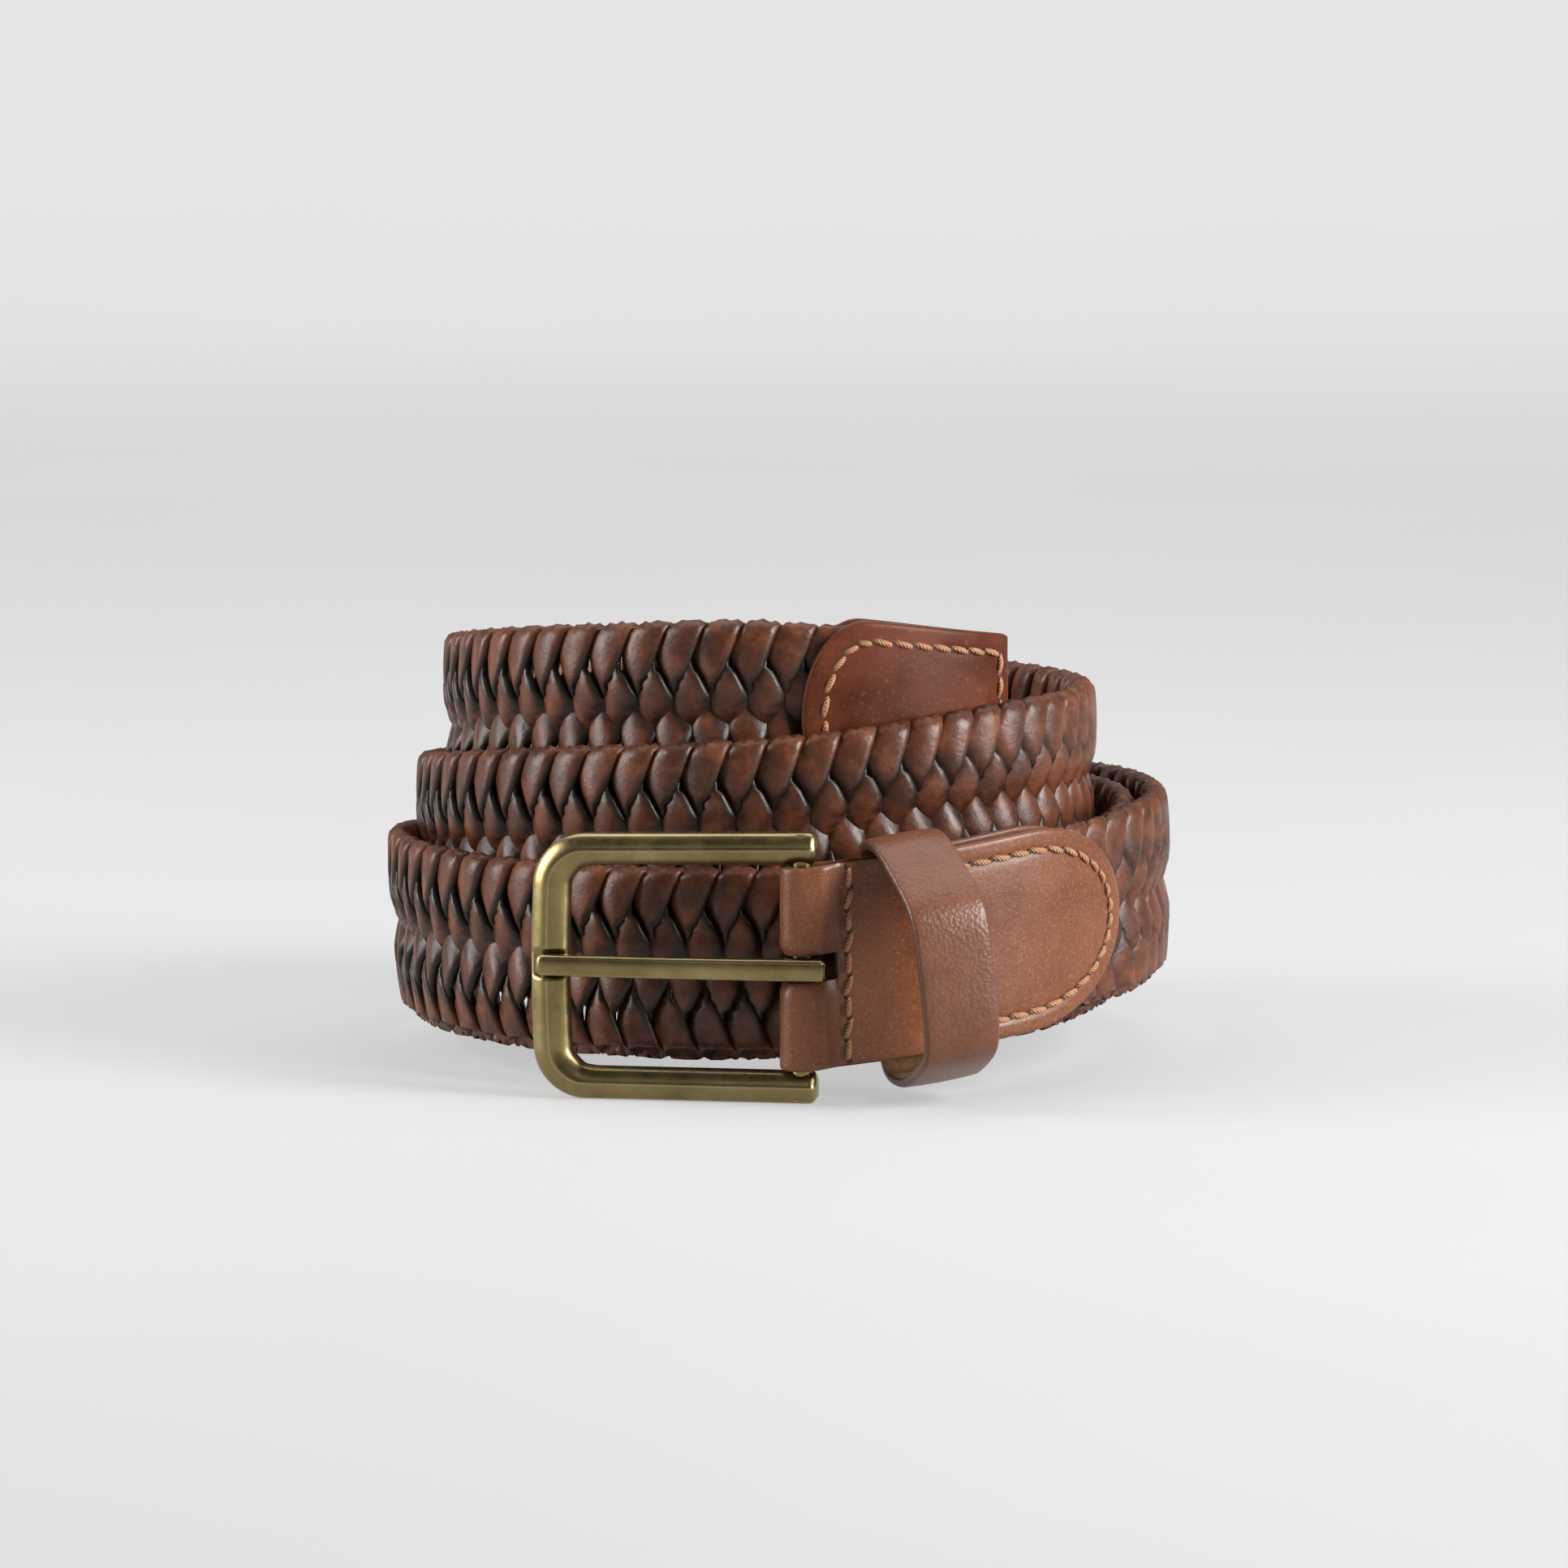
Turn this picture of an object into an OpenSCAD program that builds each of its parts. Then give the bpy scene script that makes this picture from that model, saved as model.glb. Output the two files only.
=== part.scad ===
// Braided leather belt, rolled into a rising coil, with a framed prong buckle.
// The coil's axis stands along Z. The buckle faces -Y and stands on the plane Z = 0, and the
// origin is on that plane, in the middle of the object's footprint.
// Every place along the strap is given by its angle round the coil's axis, in degrees, counted
// from the front (-Y) through the right (+X), and going past 360 on the inner turns.

/* [Braided strap] */
// Width of the braid
strap_w = 32.6; // [24:0.2:42]
// Thickness of the braid
strap_t = 4.2; // [3:0.1:5.4]
// Radius of the outer turn at the front, to the middle of the strap
coil_r = 66.5; // [60:0.5:90]
// Angle at which the free end stops
end_angle = 1132; // [1115:1:1150]

/* [Leather tabs] */
// How much wider the leather tabs are than the braid
tab_over = 1.2; // [0.4:0.1:3]
// Thickness of the leather in the tabs
leather_t = 1.9; // [1.2:0.1:2.4]
// Thickness of the flattened braid between the leathers
core_t = 2.8; // [2:0.1:4]
// Length of the buckle tab from the pin to the top of its arch
tab_len = 62; // [50:1:80]
// Length of the buckle tab's arch
arch_len = 23; // [10:1:30]
// Length of the tip tab
tip_len = 38.2; // [30:1:50]
// Length of the tip tab's arch
tip_arch_len = 11; // [6:1:18]
// Length of the prong slot from the pin to its end
slot_len = 6.6; // [6:0.1:7.5]

/* [Buckle] */
// Width of the frame's bars
bar_w = 5.3; // [4:0.1:7]
// Thickness of the frame
frame_t = 5.2; // [4.6:0.1:7]
// Length of the frame from the pin to its far edge
frame_reach = 44.8; // [40:0.2:60]
// Length of the ears past the pin
ear_over = 2.6; // [2.6:0.1:5]
// Radius of the frame's far corners
frame_corner_r = 8.5; // [3:0.5:12]
// How much lower the frame is at its far edge than at its ears
frame_taper = 0.8; // [0:0.1:2]
// Diameter of the heel pin
pin_d = 3.4; // [2:0.1:3.6]
// Width of the prong
prong_w = 3.8; // [3:0.1:6]
// Thickness of the prong
prong_t = 2.6; // [2:0.1:3.4]
// Angle by which the frame leans towards the coil
frame_lean = 12; // [4:1:14]

/* [Keeper] */
// Width of the keeper's strip
keeper_w = 13; // [8:0.2:16]
// Thickness of the keeper's leather
keeper_t = 1.6; // [1:0.1:2]
// How much taller the keeper is inside than the tab that it goes round
keeper_room = 4.6; // [4:0.1:8]
// How far the keeper's front stands off the tab
keeper_bulge = 13; // [4:0.5:16]
// Angle at which the keeper sits
keeper_angle = 19.5; // [17:0.5:24]
// How far the keeper hangs below the middle of the tab
keeper_drop = 0.9; // [0:0.1:1.5]

/* [Stitching] */
// Distance from one stitch hole to the next
stitch_pitch = 3.6; // [2.6:0.1:5]
// Distance from the leather's edge to the stitch line
stitch_inset = 3.4; // [2:0.1:5]
// Diameter of the thread
thread_d = 0.8; // [0.5:0.05:1.2]

/* [Fits] */
// Clearance between the frame's bars and the edges of the folded leather
fold_clear = 0.3; // [0.2:0.05:1]
// Running clearance on the heel pin, on the radius
pin_clear = 0.08; // [0.02:0.01:0.1]
// Clearance between the prong and the slot or notch that it lies in
prong_clear = 0.35; // [0.3:0.05:0.8]
// Clearance of the keeper round the tab, and of its back to the next turn
keeper_clear = 0.35; // [0.3:0.05:0.8]
// Clearance between turns that lie against each other
turn_clear = 0.35; // [0.3:0.05:1]

/* [Hidden] */

brass = "darkkhaki";
leather = "sienna";
leather_dark = "saddlebrown";
thread = "peru";
steel = "silver";

// Width and whole thickness of the two tabs
tab_w = strap_w + tab_over;
tab_t = core_t + 2 * leather_t;
frame_h = tab_w + 2 * (fold_clear + bar_w);

// Leather fold round the pin
pin_r = pin_d / 2;
fold_in_r = pin_r + pin_clear;
fold_out_r = fold_in_r + leather_t;
pin_angle = 2.7;

// Half of the thread is sunk in the leather
thread_out = thread_d / 2;

// Room behind the buckle tab, for the stitches and the keeper's back
keeper_sag = pow(keeper_w / 2, 2) / (2 * coil_r);
keeper_back = tab_t / 2 + thread_out + keeper_sag + keeper_clear;
back_room = keeper_back + keeper_t + keeper_clear - tab_t / 2;

// Radius of the strap's middle at each quarter turn: front, right, back, left of each turn
front_1 = coil_r;
right_1 = coil_r - 2.2;
back_1 = coil_r - 2.0;
left_1 = coil_r - 1.2;
front_2 = front_1 - tab_t / 2 - back_room - 0.5 - strap_t / 2;
right_2 = right_1 - strap_t - turn_clear - 0.8;
back_2 = back_1 - strap_t - turn_clear - 0.2;
left_2 = left_1 - strap_t - turn_clear;
front_3 = front_2 - strap_t - turn_clear;
right_3 = right_2 - strap_t - turn_clear - 3.0;
back_3 = back_2 - strap_t - turn_clear - 1.2;
left_3 = left_2 - strap_t - turn_clear - 0.3;
front_4 = front_3 - strap_t / 2 - tab_t / 2 - thread_out - turn_clear;
right_4 = right_3 - strap_t / 2 - tab_t / 2 - thread_out - turn_clear - 0.4;
turn_radii = [
    front_1, right_1, back_1, left_1,
    front_2, right_2, back_2, left_2,
    front_3, right_3, back_3, left_3,
    front_4, right_4,
];

// Height of the strap's lower edge at each eighth of a turn. The first follows from the buckle,
// and at the back of the outer turn the strap sinks until it lies on the surface
first_lift = frame_h / 2 - strap_w / 2;
turn_lifts = [
    first_lift, 11.4, 12.9, 11.4, 0.4, 2.0, 5.2, 5.4,
    5.8, 7.4, 11.2, 11.4, 11.6, 15.0, 18.4, 23.8,
    27.0, 30.8, 30.9, 30.7, 31.4, 34.6, 39.0, 44.0,
    45.7, 41.6, 36.6,
];

// How much farther out the strap's upper edge is than its lower edge, at each quarter turn
turn_leans = [0, 0, 0, 2.6, 0, 0, 0, 1, 0, 1, 0, 1.2, 0, 0];

// A smooth curve through the values of a list, at place t counted in list items
function smooth_at(list, t) =
    let (
        last = len(list) - 1,
        i = min(floor(t), last - 1),
        u = t - i,
        a = list[max(i - 1, 0)],
        b = list[i],
        c = list[i + 1],
        d = list[min(i + 2, last)]
    )
    0.5 * (2 * b + (c - a) * u + (2 * a - 5 * b + 4 * c - d) * u * u
        + (3 * b - a - 3 * c + d) * u * u * u);

function path_r(angle) = smooth_at(turn_radii, angle / 90);
function path_z(angle) = max(0, smooth_at(turn_lifts, angle / 45)) + strap_w / 2;
function path_lean(angle) = smooth_at(turn_leans, angle / 90) / strap_w;

// Place of the coil's axis, which puts the origin in the middle of the footprint
keeper_front = path_r(keeper_angle) + tab_t / 2 + keeper_bulge + keeper_t;
front_reach = keeper_front * cos(keeper_angle) + keeper_w / 2 * sin(keeper_angle);
axis_x = (left_1 - right_1) / 2;
axis_y = (front_reach - back_1 - strap_t / 2) / 2;

// A point at an angle, moved outwards by out and up by rise from the middle of the strap
function on_path(angle, out = 0, rise = 0) =
    let (r = path_r(angle) + out + rise * path_lean(angle))
    [axis_x + r * sin(angle), axis_y - r * cos(angle), path_z(angle) + rise];

// Angle reached after a length of strap from another angle, close to it
function angle_after(angle, length) = angle + length / path_r(angle) * 180 / PI;

function smooth_step(u) = let (v = min(max(u, 0), 1)) v * v * (3 - 2 * v);

// Half the height of a tab's outline at a distance before the top of its arch
function arch_half(before_end, half, arch) =
    before_end >= arch ? half
    : half * sqrt(max(0, 1 - pow(1 - max(before_end, 0) / arch, 2)));

// Triangles between rings of the same number of points, with both ends closed
function tube_faces(rings, sides) = concat(
    [for (i = [0:rings - 2], j = [0:sides - 1])
        let (k = (j + 1) % sides, p = i * sides, q = p + sides)
        [p + j, q + k, q + j]],
    [for (i = [0:rings - 2], j = [0:sides - 1])
        let (k = (j + 1) % sides, p = i * sides, q = p + sides)
        [p + j, p + k, q + k]],
    [[for (j = [sides - 1:-1:0]) j]],
    [[for (j = [0:sides - 1]) (rings - 1) * sides + j]]
);

// A solid through a list of rings of points
module loft(rings) {
    polyhedron([for (ring = rings) each ring], tube_faces(len(rings), len(rings[0])));
}

// A straight round rod from one point to another
module rod(from, to, d) {
    run = to - from;
    length = norm(run);
    translate(from)
        rotate([0, acos(run[2] / length), atan2(run[1], run[0])])
            cylinder(h = length, d = d, $fn = 16);
}

// --- Places along the strap ---

strap_start = angle_after(pin_angle, slot_len + 0.6);
cross_angle = angle_after(pin_angle, slot_len + 0.8);
tab_end = angle_after(pin_angle, tab_len);
tip_start = end_angle - tip_len / path_r(end_angle) * 180 / PI;
strap_end = end_angle - 1;

// Direction of the strap at the pin, from +X towards +Y
pin_step = on_path(pin_angle + 0.5) - on_path(pin_angle - 0.5);
pin_heading = atan2(pin_step[1], pin_step[0]);

module at_pin() {
    place = on_path(pin_angle);
    translate([place[0], place[1], 0])
        rotate([0, 0, pin_heading])
            children();
}

// --- Braided strap ---

// Thickness of the braid: flattened between the leathers, full elsewhere
function braid_t(angle) =
    let (
        past_tab = (angle - tab_end) * coil_r * PI / 180,
        to_tip = (tip_start - angle) * front_4 * PI / 180,
        grown = min(smooth_step(past_tab / 8), smooth_step(to_tip / 8)),
        flat = core_t - 0.3
    )
    flat + (strap_t - flat) * grown;

function braid_ring(angle) =
    let (
        t = braid_t(angle) / 2,
        w = strap_w / 2,
        cut = t * 0.6
    )
    [
        on_path(angle, t, -w + cut), on_path(angle, t, w - cut),
        on_path(angle, t - cut, w), on_path(angle, cut - t, w),
        on_path(angle, -t, w - cut), on_path(angle, -t, -w + cut),
        on_path(angle, cut - t, -w), on_path(angle, t - cut, -w),
    ];

module braided_strap() {
    rings = 150;
    color(leather_dark)
        loft([for (i = [0:rings - 1])
            braid_ring(strap_start + (strap_end - strap_start) * i / (rings - 1))]);
}

// --- Tabs ---

// One ring of a flat leather wing, from one distance off the strap's middle to another
function wing_ring(angle, near, far, half) = [
    on_path(angle, far, -half), on_path(angle, far, half),
    on_path(angle, near, half), on_path(angle, near, -half),
];

// Distance of the wing's inner face from the middle: round the pin, then on the braid
function wing_near(length) =
    fold_in_r + (core_t / 2 - fold_in_r) * smooth_step((length - 1) / (slot_len - 1));

// Length of the flat leather that joins the fold to the wings, and how much of it they share
flange_len = 1.2;
flange_share = 0.6;

// A wing is let into the end of its flange, a little smaller all round
module buckle_wing(side) {
    straight = 16;
    arch = 10;
    least = 0.02;
    let_in = 0.08;
    first = flange_len - flange_share;
    lengths = concat(
        [first, flange_len],
        [for (i = [1:straight]) flange_len + (tab_len - arch_len - flange_len) * i / straight],
        [for (i = [1:arch]) tab_len - arch_len * (1 - sin(90 * i / arch))]
    );
    loft([for (length = lengths)
        let (
            inset = length <= flange_len ? let_in : 0,
            near = wing_near(length) + inset,
            far = near + leather_t - 2 * inset,
            arched = arch_half(tab_len - length, tab_w / 2, arch_len),
            half = max(least, arched - 4 * inset),
            angle = angle_after(pin_angle, length),
            ring = wing_ring(angle, side * near, side * far, half)
        )
        side > 0 ? ring : [for (i = [3:-1:0]) ring[i]]]);
}

// The leather's fold round the pin, with a short flat flange at the front and the back
module buckle_fold() {
    difference() {
        union() {
            cylinder(h = tab_w, r = fold_out_r, $fn = 64);
            translate([0, -fold_out_r, 0])
                cube([flange_len, 2 * fold_out_r, tab_w]);
        }
        translate([0, 0, -1])
            cylinder(h = tab_w + 2, r = fold_in_r, $fn = 64);
        translate([0, -fold_in_r, -1])
            cube([fold_out_r + 1, 2 * fold_in_r, tab_w + 2]);
        translate([flange_len, -fold_out_r - 1, -1])
            cube([fold_out_r + 1, 2 * fold_out_r + 2, tab_w + 2]);
    }
}

module buckle_tab() {
    slot_h = prong_w + 2 * prong_clear;
    color(leather)
        difference() {
            union() {
                buckle_wing(1);
                buckle_wing(-1);
                at_pin()
                    translate([0, 0, frame_h / 2 - tab_w / 2])
                        buckle_fold();
            }
            at_pin()
                translate([-fold_out_r - 1, -fold_out_r - 3, frame_h / 2 - slot_h / 2])
                    cube([fold_out_r + 1 + slot_len, 2 * fold_out_r + 6, slot_h]);
        }
}

// A leather wing of the tip tab, with its arch towards the buckle and a square free end
module tip_wing(side) {
    straight = 10;
    arch = 10;
    least = 0.02;
    near = core_t / 2;
    lengths = concat(
        [for (i = [0:arch - 1]) tip_arch_len * (1 - cos(90 * i / arch))],
        [for (i = [0:straight]) tip_arch_len + (tip_len - tip_arch_len) * i / straight]
    );
    loft([for (length = lengths)
        let (
            half = max(least, arch_half(length, tab_w / 2, tip_arch_len)),
            angle = tip_start + (end_angle - tip_start) * length / tip_len,
            ring = wing_ring(angle, side * near, side * (near + leather_t), half)
        )
        side > 0 ? ring : [for (i = [3:-1:0]) ring[i]]]);
}

module tip_tab_front() {
    color(leather) tip_wing(1);
}

module tip_tab_back() {
    color(leather) tip_wing(-1);
}

// --- Stitching ---

// Stitches between neighbouring places of a list, each place being [angle, rise]
module stitch_row(places, side, surface) {
    out = side * (surface + thread_out - thread_d / 2);
    gap = 0.16;
    for (i = [0:len(places) - 2]) {
        a = on_path(places[i][0], out, places[i][1]);
        b = on_path(places[i + 1][0], out, places[i + 1][1]);
        rod(a + (b - a) * gap, b - (b - a) * gap, thread_d);
    }
}

// Length from the pin at which the rows along the buckle tab start, under the keeper
tab_row_start = 17.4;

// Places round the buckle tab: along the top, round the arch and back along the bottom
function tab_stitch_places() =
    let (
        half = tab_w / 2 - stitch_inset,
        arch = arch_len - stitch_inset,
        first = tab_row_start,
        turn_at = tab_len - arch_len,
        along = round((turn_at - first) / stitch_pitch),
        round_count = 14,
        top = [for (i = [0:along])
            [angle_after(pin_angle, first + (turn_at - first) * i / along), half]],
        bend = [for (i = [1:round_count - 1])
            let (a = 180 * i / round_count)
            [angle_after(pin_angle, turn_at + arch * sin(a)), half * cos(a)]],
        bottom = [for (i = [along:-1:0])
            [angle_after(pin_angle, first + (turn_at - first) * i / along), -half]]
    )
    concat(top, bend, bottom);

module tab_stitches() {
    places = tab_stitch_places();
    color(thread) {
        stitch_row(places, 1, tab_t / 2);
        stitch_row(places, -1, tab_t / 2);
    }
}

module cross_stitches() {
    half = tab_w / 2 - thread_d;
    count = round(2 * half / stitch_pitch);
    places = [for (i = [0:count]) [cross_angle, half - 2 * half * i / count]];
    color(thread) {
        stitch_row(places, 1, tab_t / 2);
        stitch_row(places, -1, tab_t / 2);
    }
}

// Places round the tip tab: up the arch, along the top, down the end and back
function tip_stitch_places() =
    let (
        half = tab_w / 2 - stitch_inset,
        arch = tip_arch_len - stitch_inset / 2,
        last = tip_len - stitch_inset,
        along = round((last - tip_arch_len) / stitch_pitch),
        down = round(2 * half / stitch_pitch),
        round_count = 10,
        turn = (end_angle - tip_start) / tip_len,
        bend = [for (i = [0:round_count])
            let (a = 180 * i / round_count)
            [tip_start + turn * (tip_arch_len - arch * sin(a)), -half * cos(a)]],
        top = [for (i = [1:along])
            [tip_start + turn * (tip_arch_len + (last - tip_arch_len) * i / along), half]],
        end = [for (i = [1:down]) [tip_start + turn * last, half - 2 * half * i / down]],
        bottom = [for (i = [along - 1:-1:0])
            [tip_start + turn * (tip_arch_len + (last - tip_arch_len) * i / along), -half]]
    )
    concat(bend, top, end, bottom);

module tip_stitches() {
    places = tip_stitch_places();
    color(thread) {
        stitch_row(places, 1, tab_t / 2);
        stitch_row(places, -1, tab_t / 2);
    }
}

// --- Buckle ---

// Frame's outline, inset by an amount: x from the pin, y up
module frame_outline(inset) {
    far = -frame_reach + inset;
    near = ear_over - inset;
    corner = frame_corner_r - inset;
    ear_r = 1.2;
    hull() {
        translate([far + corner, inset + corner]) circle(r = corner, $fn = 48);
        translate([far + corner, frame_h - frame_taper - inset - corner])
            circle(r = corner, $fn = 48);
        translate([near - ear_r, inset + ear_r]) circle(r = ear_r, $fn = 16);
        translate([near - ear_r, frame_h - inset - ear_r]) circle(r = ear_r, $fn = 16);
    }
}

// Window's outline, open past the ears, widened by an amount
module frame_window(wide) {
    far = -frame_reach + bar_w - wide;
    corner = 3.5 + wide;
    low = bar_w - wide;
    high = frame_h - bar_w + wide;
    hull() {
        translate([far + corner, low + corner]) circle(r = corner, $fn = 32);
        translate([far + corner, high - frame_taper * 0.8 - corner])
            circle(r = corner, $fn = 32);
        translate([ear_over + 1, low]) square([1, high - low]);
    }
}

module frame_slab(thick) {
    rotate([90, 0, 0])
        linear_extrude(thick, center = true)
            children();
}

module at_frame() {
    at_pin()
        rotate([0, 0, -frame_lean])
            children();
}

module buckle_frame() {
    bevel = 1.0;
    notch_deep = 1.3;
    notch_w = prong_w + 2 * prong_clear;
    color(brass)
        at_frame()
            difference() {
                hull() {
                    frame_slab(frame_t) frame_outline(bevel);
                    frame_slab(frame_t - 2 * bevel) frame_outline(0);
                }
                frame_slab(frame_t + 2) frame_window(0);
                translate([0, 0, -1])
                    cylinder(h = frame_h + 2, r = pin_r, $fn = 48);
                translate([-frame_reach - 1, -frame_t / 2 - 1, frame_h / 2 - notch_w / 2])
                    cube([bar_w + 2, notch_deep + 1, notch_w]);
            }
}

module heel_pin() {
    recess = 0.3;
    color(brass)
        at_pin()
            translate([0, 0, recess])
                cylinder(h = frame_h - 2 * recess, r = pin_r, $fn = 48);
}

// Side of the prong: x along it from the pin, y to the front being negative
module prong_side() {
    notch_floor = -frame_t / 2 + 1.3;
    tip_x = -frame_reach + 1.2;
    tip_back = notch_floor - prong_clear;
    heel_front = -4.2;
    heel_x = 5.0;
    steps = 10;
    bow = 0.5;
    root_back = heel_front + prong_t;
    back = [for (i = [0:steps])
        let (u = i / steps)
        [tip_x * u, root_back + (tip_back - root_back) * u - bow * sin(180 * u)]];
    front = [for (i = [steps:-1:0])
        let (u = i / steps)
        [tip_x * u, root_back + (tip_back - root_back) * u - bow * sin(180 * u) - prong_t]];
    polygon(concat(
        back,
        [[tip_x - 0.5, tip_back - prong_t * 0.5]],
        front,
        [
            [heel_x - 1.2, heel_front], [heel_x - 0.3, heel_front + 0.4],
            [heel_x, heel_front + 1.2], [heel_x, -1.4], [heel_x - 1, -0.4], [2.6, 0],
        ]
    ));
}

module prong() {
    eye_r = pin_r + pin_clear + 1.3;
    color(brass)
        at_frame()
            translate([0, 0, frame_h / 2 - prong_w / 2])
                difference() {
                    union() {
                        linear_extrude(prong_w) prong_side();
                        cylinder(h = prong_w, r = eye_r, $fn = 48);
                    }
                    translate([0, 0, -1])
                        cylinder(h = prong_w + 2, r = pin_r + pin_clear, $fn = 48);
                }
}

// --- Keeper ---

keeper_step = on_path(keeper_angle + 3) - on_path(keeper_angle - 3);
keeper_climb = atan2(keeper_step[2], norm([keeper_step[0], keeper_step[1]]));
keeper_heading = atan2(keeper_step[1], keeper_step[0]);

module at_keeper() {
    translate(on_path(keeper_angle, rise = -keeper_drop))
        rotate([0, 0, keeper_heading])
            rotate([0, -keeper_climb, 0])
                children();
}

// Section of the keeper, inset from its outer face: x to the inside of the coil, y up
module keeper_section(inset) {
    back = keeper_back + keeper_t - inset;
    front = -tab_t / 2 - keeper_bulge - keeper_t + inset;
    half = (tab_w + keeper_room) / 2 + keeper_t - inset;
    small = 2.4 - inset;
    large = 6 - inset;
    hull() {
        translate([back - small, half - small]) circle(r = small, $fn = 24);
        translate([back - small, small - half]) circle(r = small, $fn = 24);
        translate([-3, large - half]) circle(r = large, $fn = 32);
        translate([-1, half - large]) circle(r = large, $fn = 32);
        translate([front + large, -half * 0.5]) circle(r = large, $fn = 32);
        translate([front + large, half * 0.35]) circle(r = large, $fn = 32);
    }
}

staple_w = 8;
staple_h = 1.2;
staple_t = 0.5;

module keeper_loop() {
    color(leather)
        at_keeper()
            difference() {
                rotate([90, 0, 90])
                    linear_extrude(keeper_w, center = true)
                        difference() {
                            keeper_section(0);
                            keeper_section(keeper_t);
                        }
                translate([0, keeper_back + keeper_t, 0])
                    cube([staple_h, 2 * staple_t, staple_w], center = true);
            }
}

module keeper_staple() {
    color(steel)
        at_keeper()
            translate([0, keeper_back + keeper_t - staple_t / 2, 0])
                cube([staple_h, staple_t, staple_w], center = true);
}

buckle_frame();
heel_pin();
prong();
buckle_tab();
tab_stitches();
cross_stitches();
keeper_loop();
keeper_staple();
braided_strap();
tip_tab_front();
tip_tab_back();
tip_stitches();
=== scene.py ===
import math

import bpy
import bmesh
import numpy as np
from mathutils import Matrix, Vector


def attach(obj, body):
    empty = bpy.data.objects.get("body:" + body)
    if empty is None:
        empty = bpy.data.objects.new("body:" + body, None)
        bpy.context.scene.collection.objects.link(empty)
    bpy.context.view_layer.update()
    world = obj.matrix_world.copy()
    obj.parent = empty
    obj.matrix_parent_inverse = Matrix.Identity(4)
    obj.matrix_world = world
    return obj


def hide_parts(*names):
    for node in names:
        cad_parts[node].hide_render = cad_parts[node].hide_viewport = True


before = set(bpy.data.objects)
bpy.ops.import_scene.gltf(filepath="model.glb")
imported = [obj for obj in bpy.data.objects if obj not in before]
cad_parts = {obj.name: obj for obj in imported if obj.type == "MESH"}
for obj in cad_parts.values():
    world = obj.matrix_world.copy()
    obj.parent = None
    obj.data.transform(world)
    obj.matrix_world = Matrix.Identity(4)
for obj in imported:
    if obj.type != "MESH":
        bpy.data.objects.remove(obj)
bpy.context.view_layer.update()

# Lengths below are in millimetres until a piece's mesh is filled, which turns them to metres.
MM = 0.001

# ---------------------------------------------------------------- the strap's path

# These sizes are the CAD's own. The lists hold the coil's radius and a turn's lean every 90
# degrees round it, and the lift of the strap's lower edge off the table every 45 degrees.
STRAP_W = 32.6
STRAP_T = 4.2
TAB_W = 33.8
LEATHER_T = 1.9
CORE_T = 2.8
TAB_T = CORE_T + 2 * LEATHER_T
TAB_LEN = 62.0
ARCH_LEN = 23.0
TIP_LEN = 38.2
TIP_ARCH_LEN = 11.0
SLOT_LEN = 6.6
PIN_ANGLE = 2.7
END_ANGLE = 1132.0
FOLD_IN_R = 1.78
PIN_R = 1.7
STITCH_INSET = 3.4
STITCH_PITCH = 3.6
CROSS_ROW_GAP = 0.8
STRAP_GAP = 0.6
PIN_HEIGHT = 22.5
FRAME_TURN = math.radians(12)
AXIS = np.array([0.5, 7.388])

TURN_RADII = np.array([
    66.5, 64.3, 64.5, 65.3, 57.582, 58.95, 59.75, 60.75,
    53.032, 51.4, 54.0, 55.9, 46.882, 44.85])
TURN_LIFTS = np.array([
    6.2, 11.4, 12.9, 11.4, 0.4, 2.0, 5.2, 5.4,
    5.8, 7.4, 11.2, 11.4, 11.6, 15.0, 18.4, 23.8,
    27.0, 30.8, 30.9, 30.7, 31.4, 34.6, 39.0, 44.0,
    45.7, 41.6, 36.6])
TURN_LEANS = np.array([0, 0, 0, 2.6, 0, 0, 0, 1, 0, 1, 0, 1.2, 0, 0.0])


def smooth_at(values, place):
    """Catmull-Rom curve through the values, at a place counted in list items."""
    place = np.asarray(place, float)
    last = len(values) - 1
    i = np.minimum(np.floor(place).astype(int), last - 1)
    u = place - i
    a, b = values[np.maximum(i - 1, 0)], values[i]
    c, d = values[i + 1], values[np.minimum(i + 2, last)]
    return 0.5 * (2 * b + (c - a) * u + (2 * a - 5 * b + 4 * c - d) * u**2
                  + (3 * b - a - 3 * c + d) * u**3)


def path_r(angle):
    """Radius of the strap's middle at an angle."""
    return smooth_at(TURN_RADII, np.asarray(angle) / 90)


def path_z(angle):
    """Height of the strap's middle at an angle; its lower edge never goes below the table."""
    return np.maximum(0, smooth_at(TURN_LIFTS, np.asarray(angle) / 45)) + STRAP_W / 2


def on_path(angle, out=0.0, rise=0.0):
    """Point at an angle round the coil, moved outwards by out and up by rise from the strap's middle;
    a turn's lean moves it outwards in proportion to rise."""
    angle, out, rise = np.broadcast_arrays(
        np.asarray(angle, float), np.asarray(out, float), np.asarray(rise, float))
    lean = smooth_at(TURN_LEANS, angle / 90) / STRAP_W
    r = path_r(angle) + out + rise * lean
    a = np.radians(angle)
    return np.stack([AXIS[0] + r * np.sin(a), AXIS[1] - r * np.cos(a), path_z(angle) + rise], -1)


def path_chord(angle, reach):
    """Heading and climb, in radians, of the chord from reach degrees before an angle to reach
    degrees after it."""
    chord = on_path(angle + reach) - on_path(angle - reach)
    return math.atan2(chord[1], chord[0]), math.atan2(chord[2], math.hypot(chord[0], chord[1]))


def outward(angle):
    """Level unit vector away from the coil's axis at an angle."""
    a = np.radians(angle)
    return np.stack([np.sin(a), -np.cos(a), 0 * a], -1)


def forward(angle):
    """Level unit vector along the way the strap winds at an angle."""
    a = np.radians(angle)
    return np.stack([np.cos(a), np.sin(a), 0 * a], -1)


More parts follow.
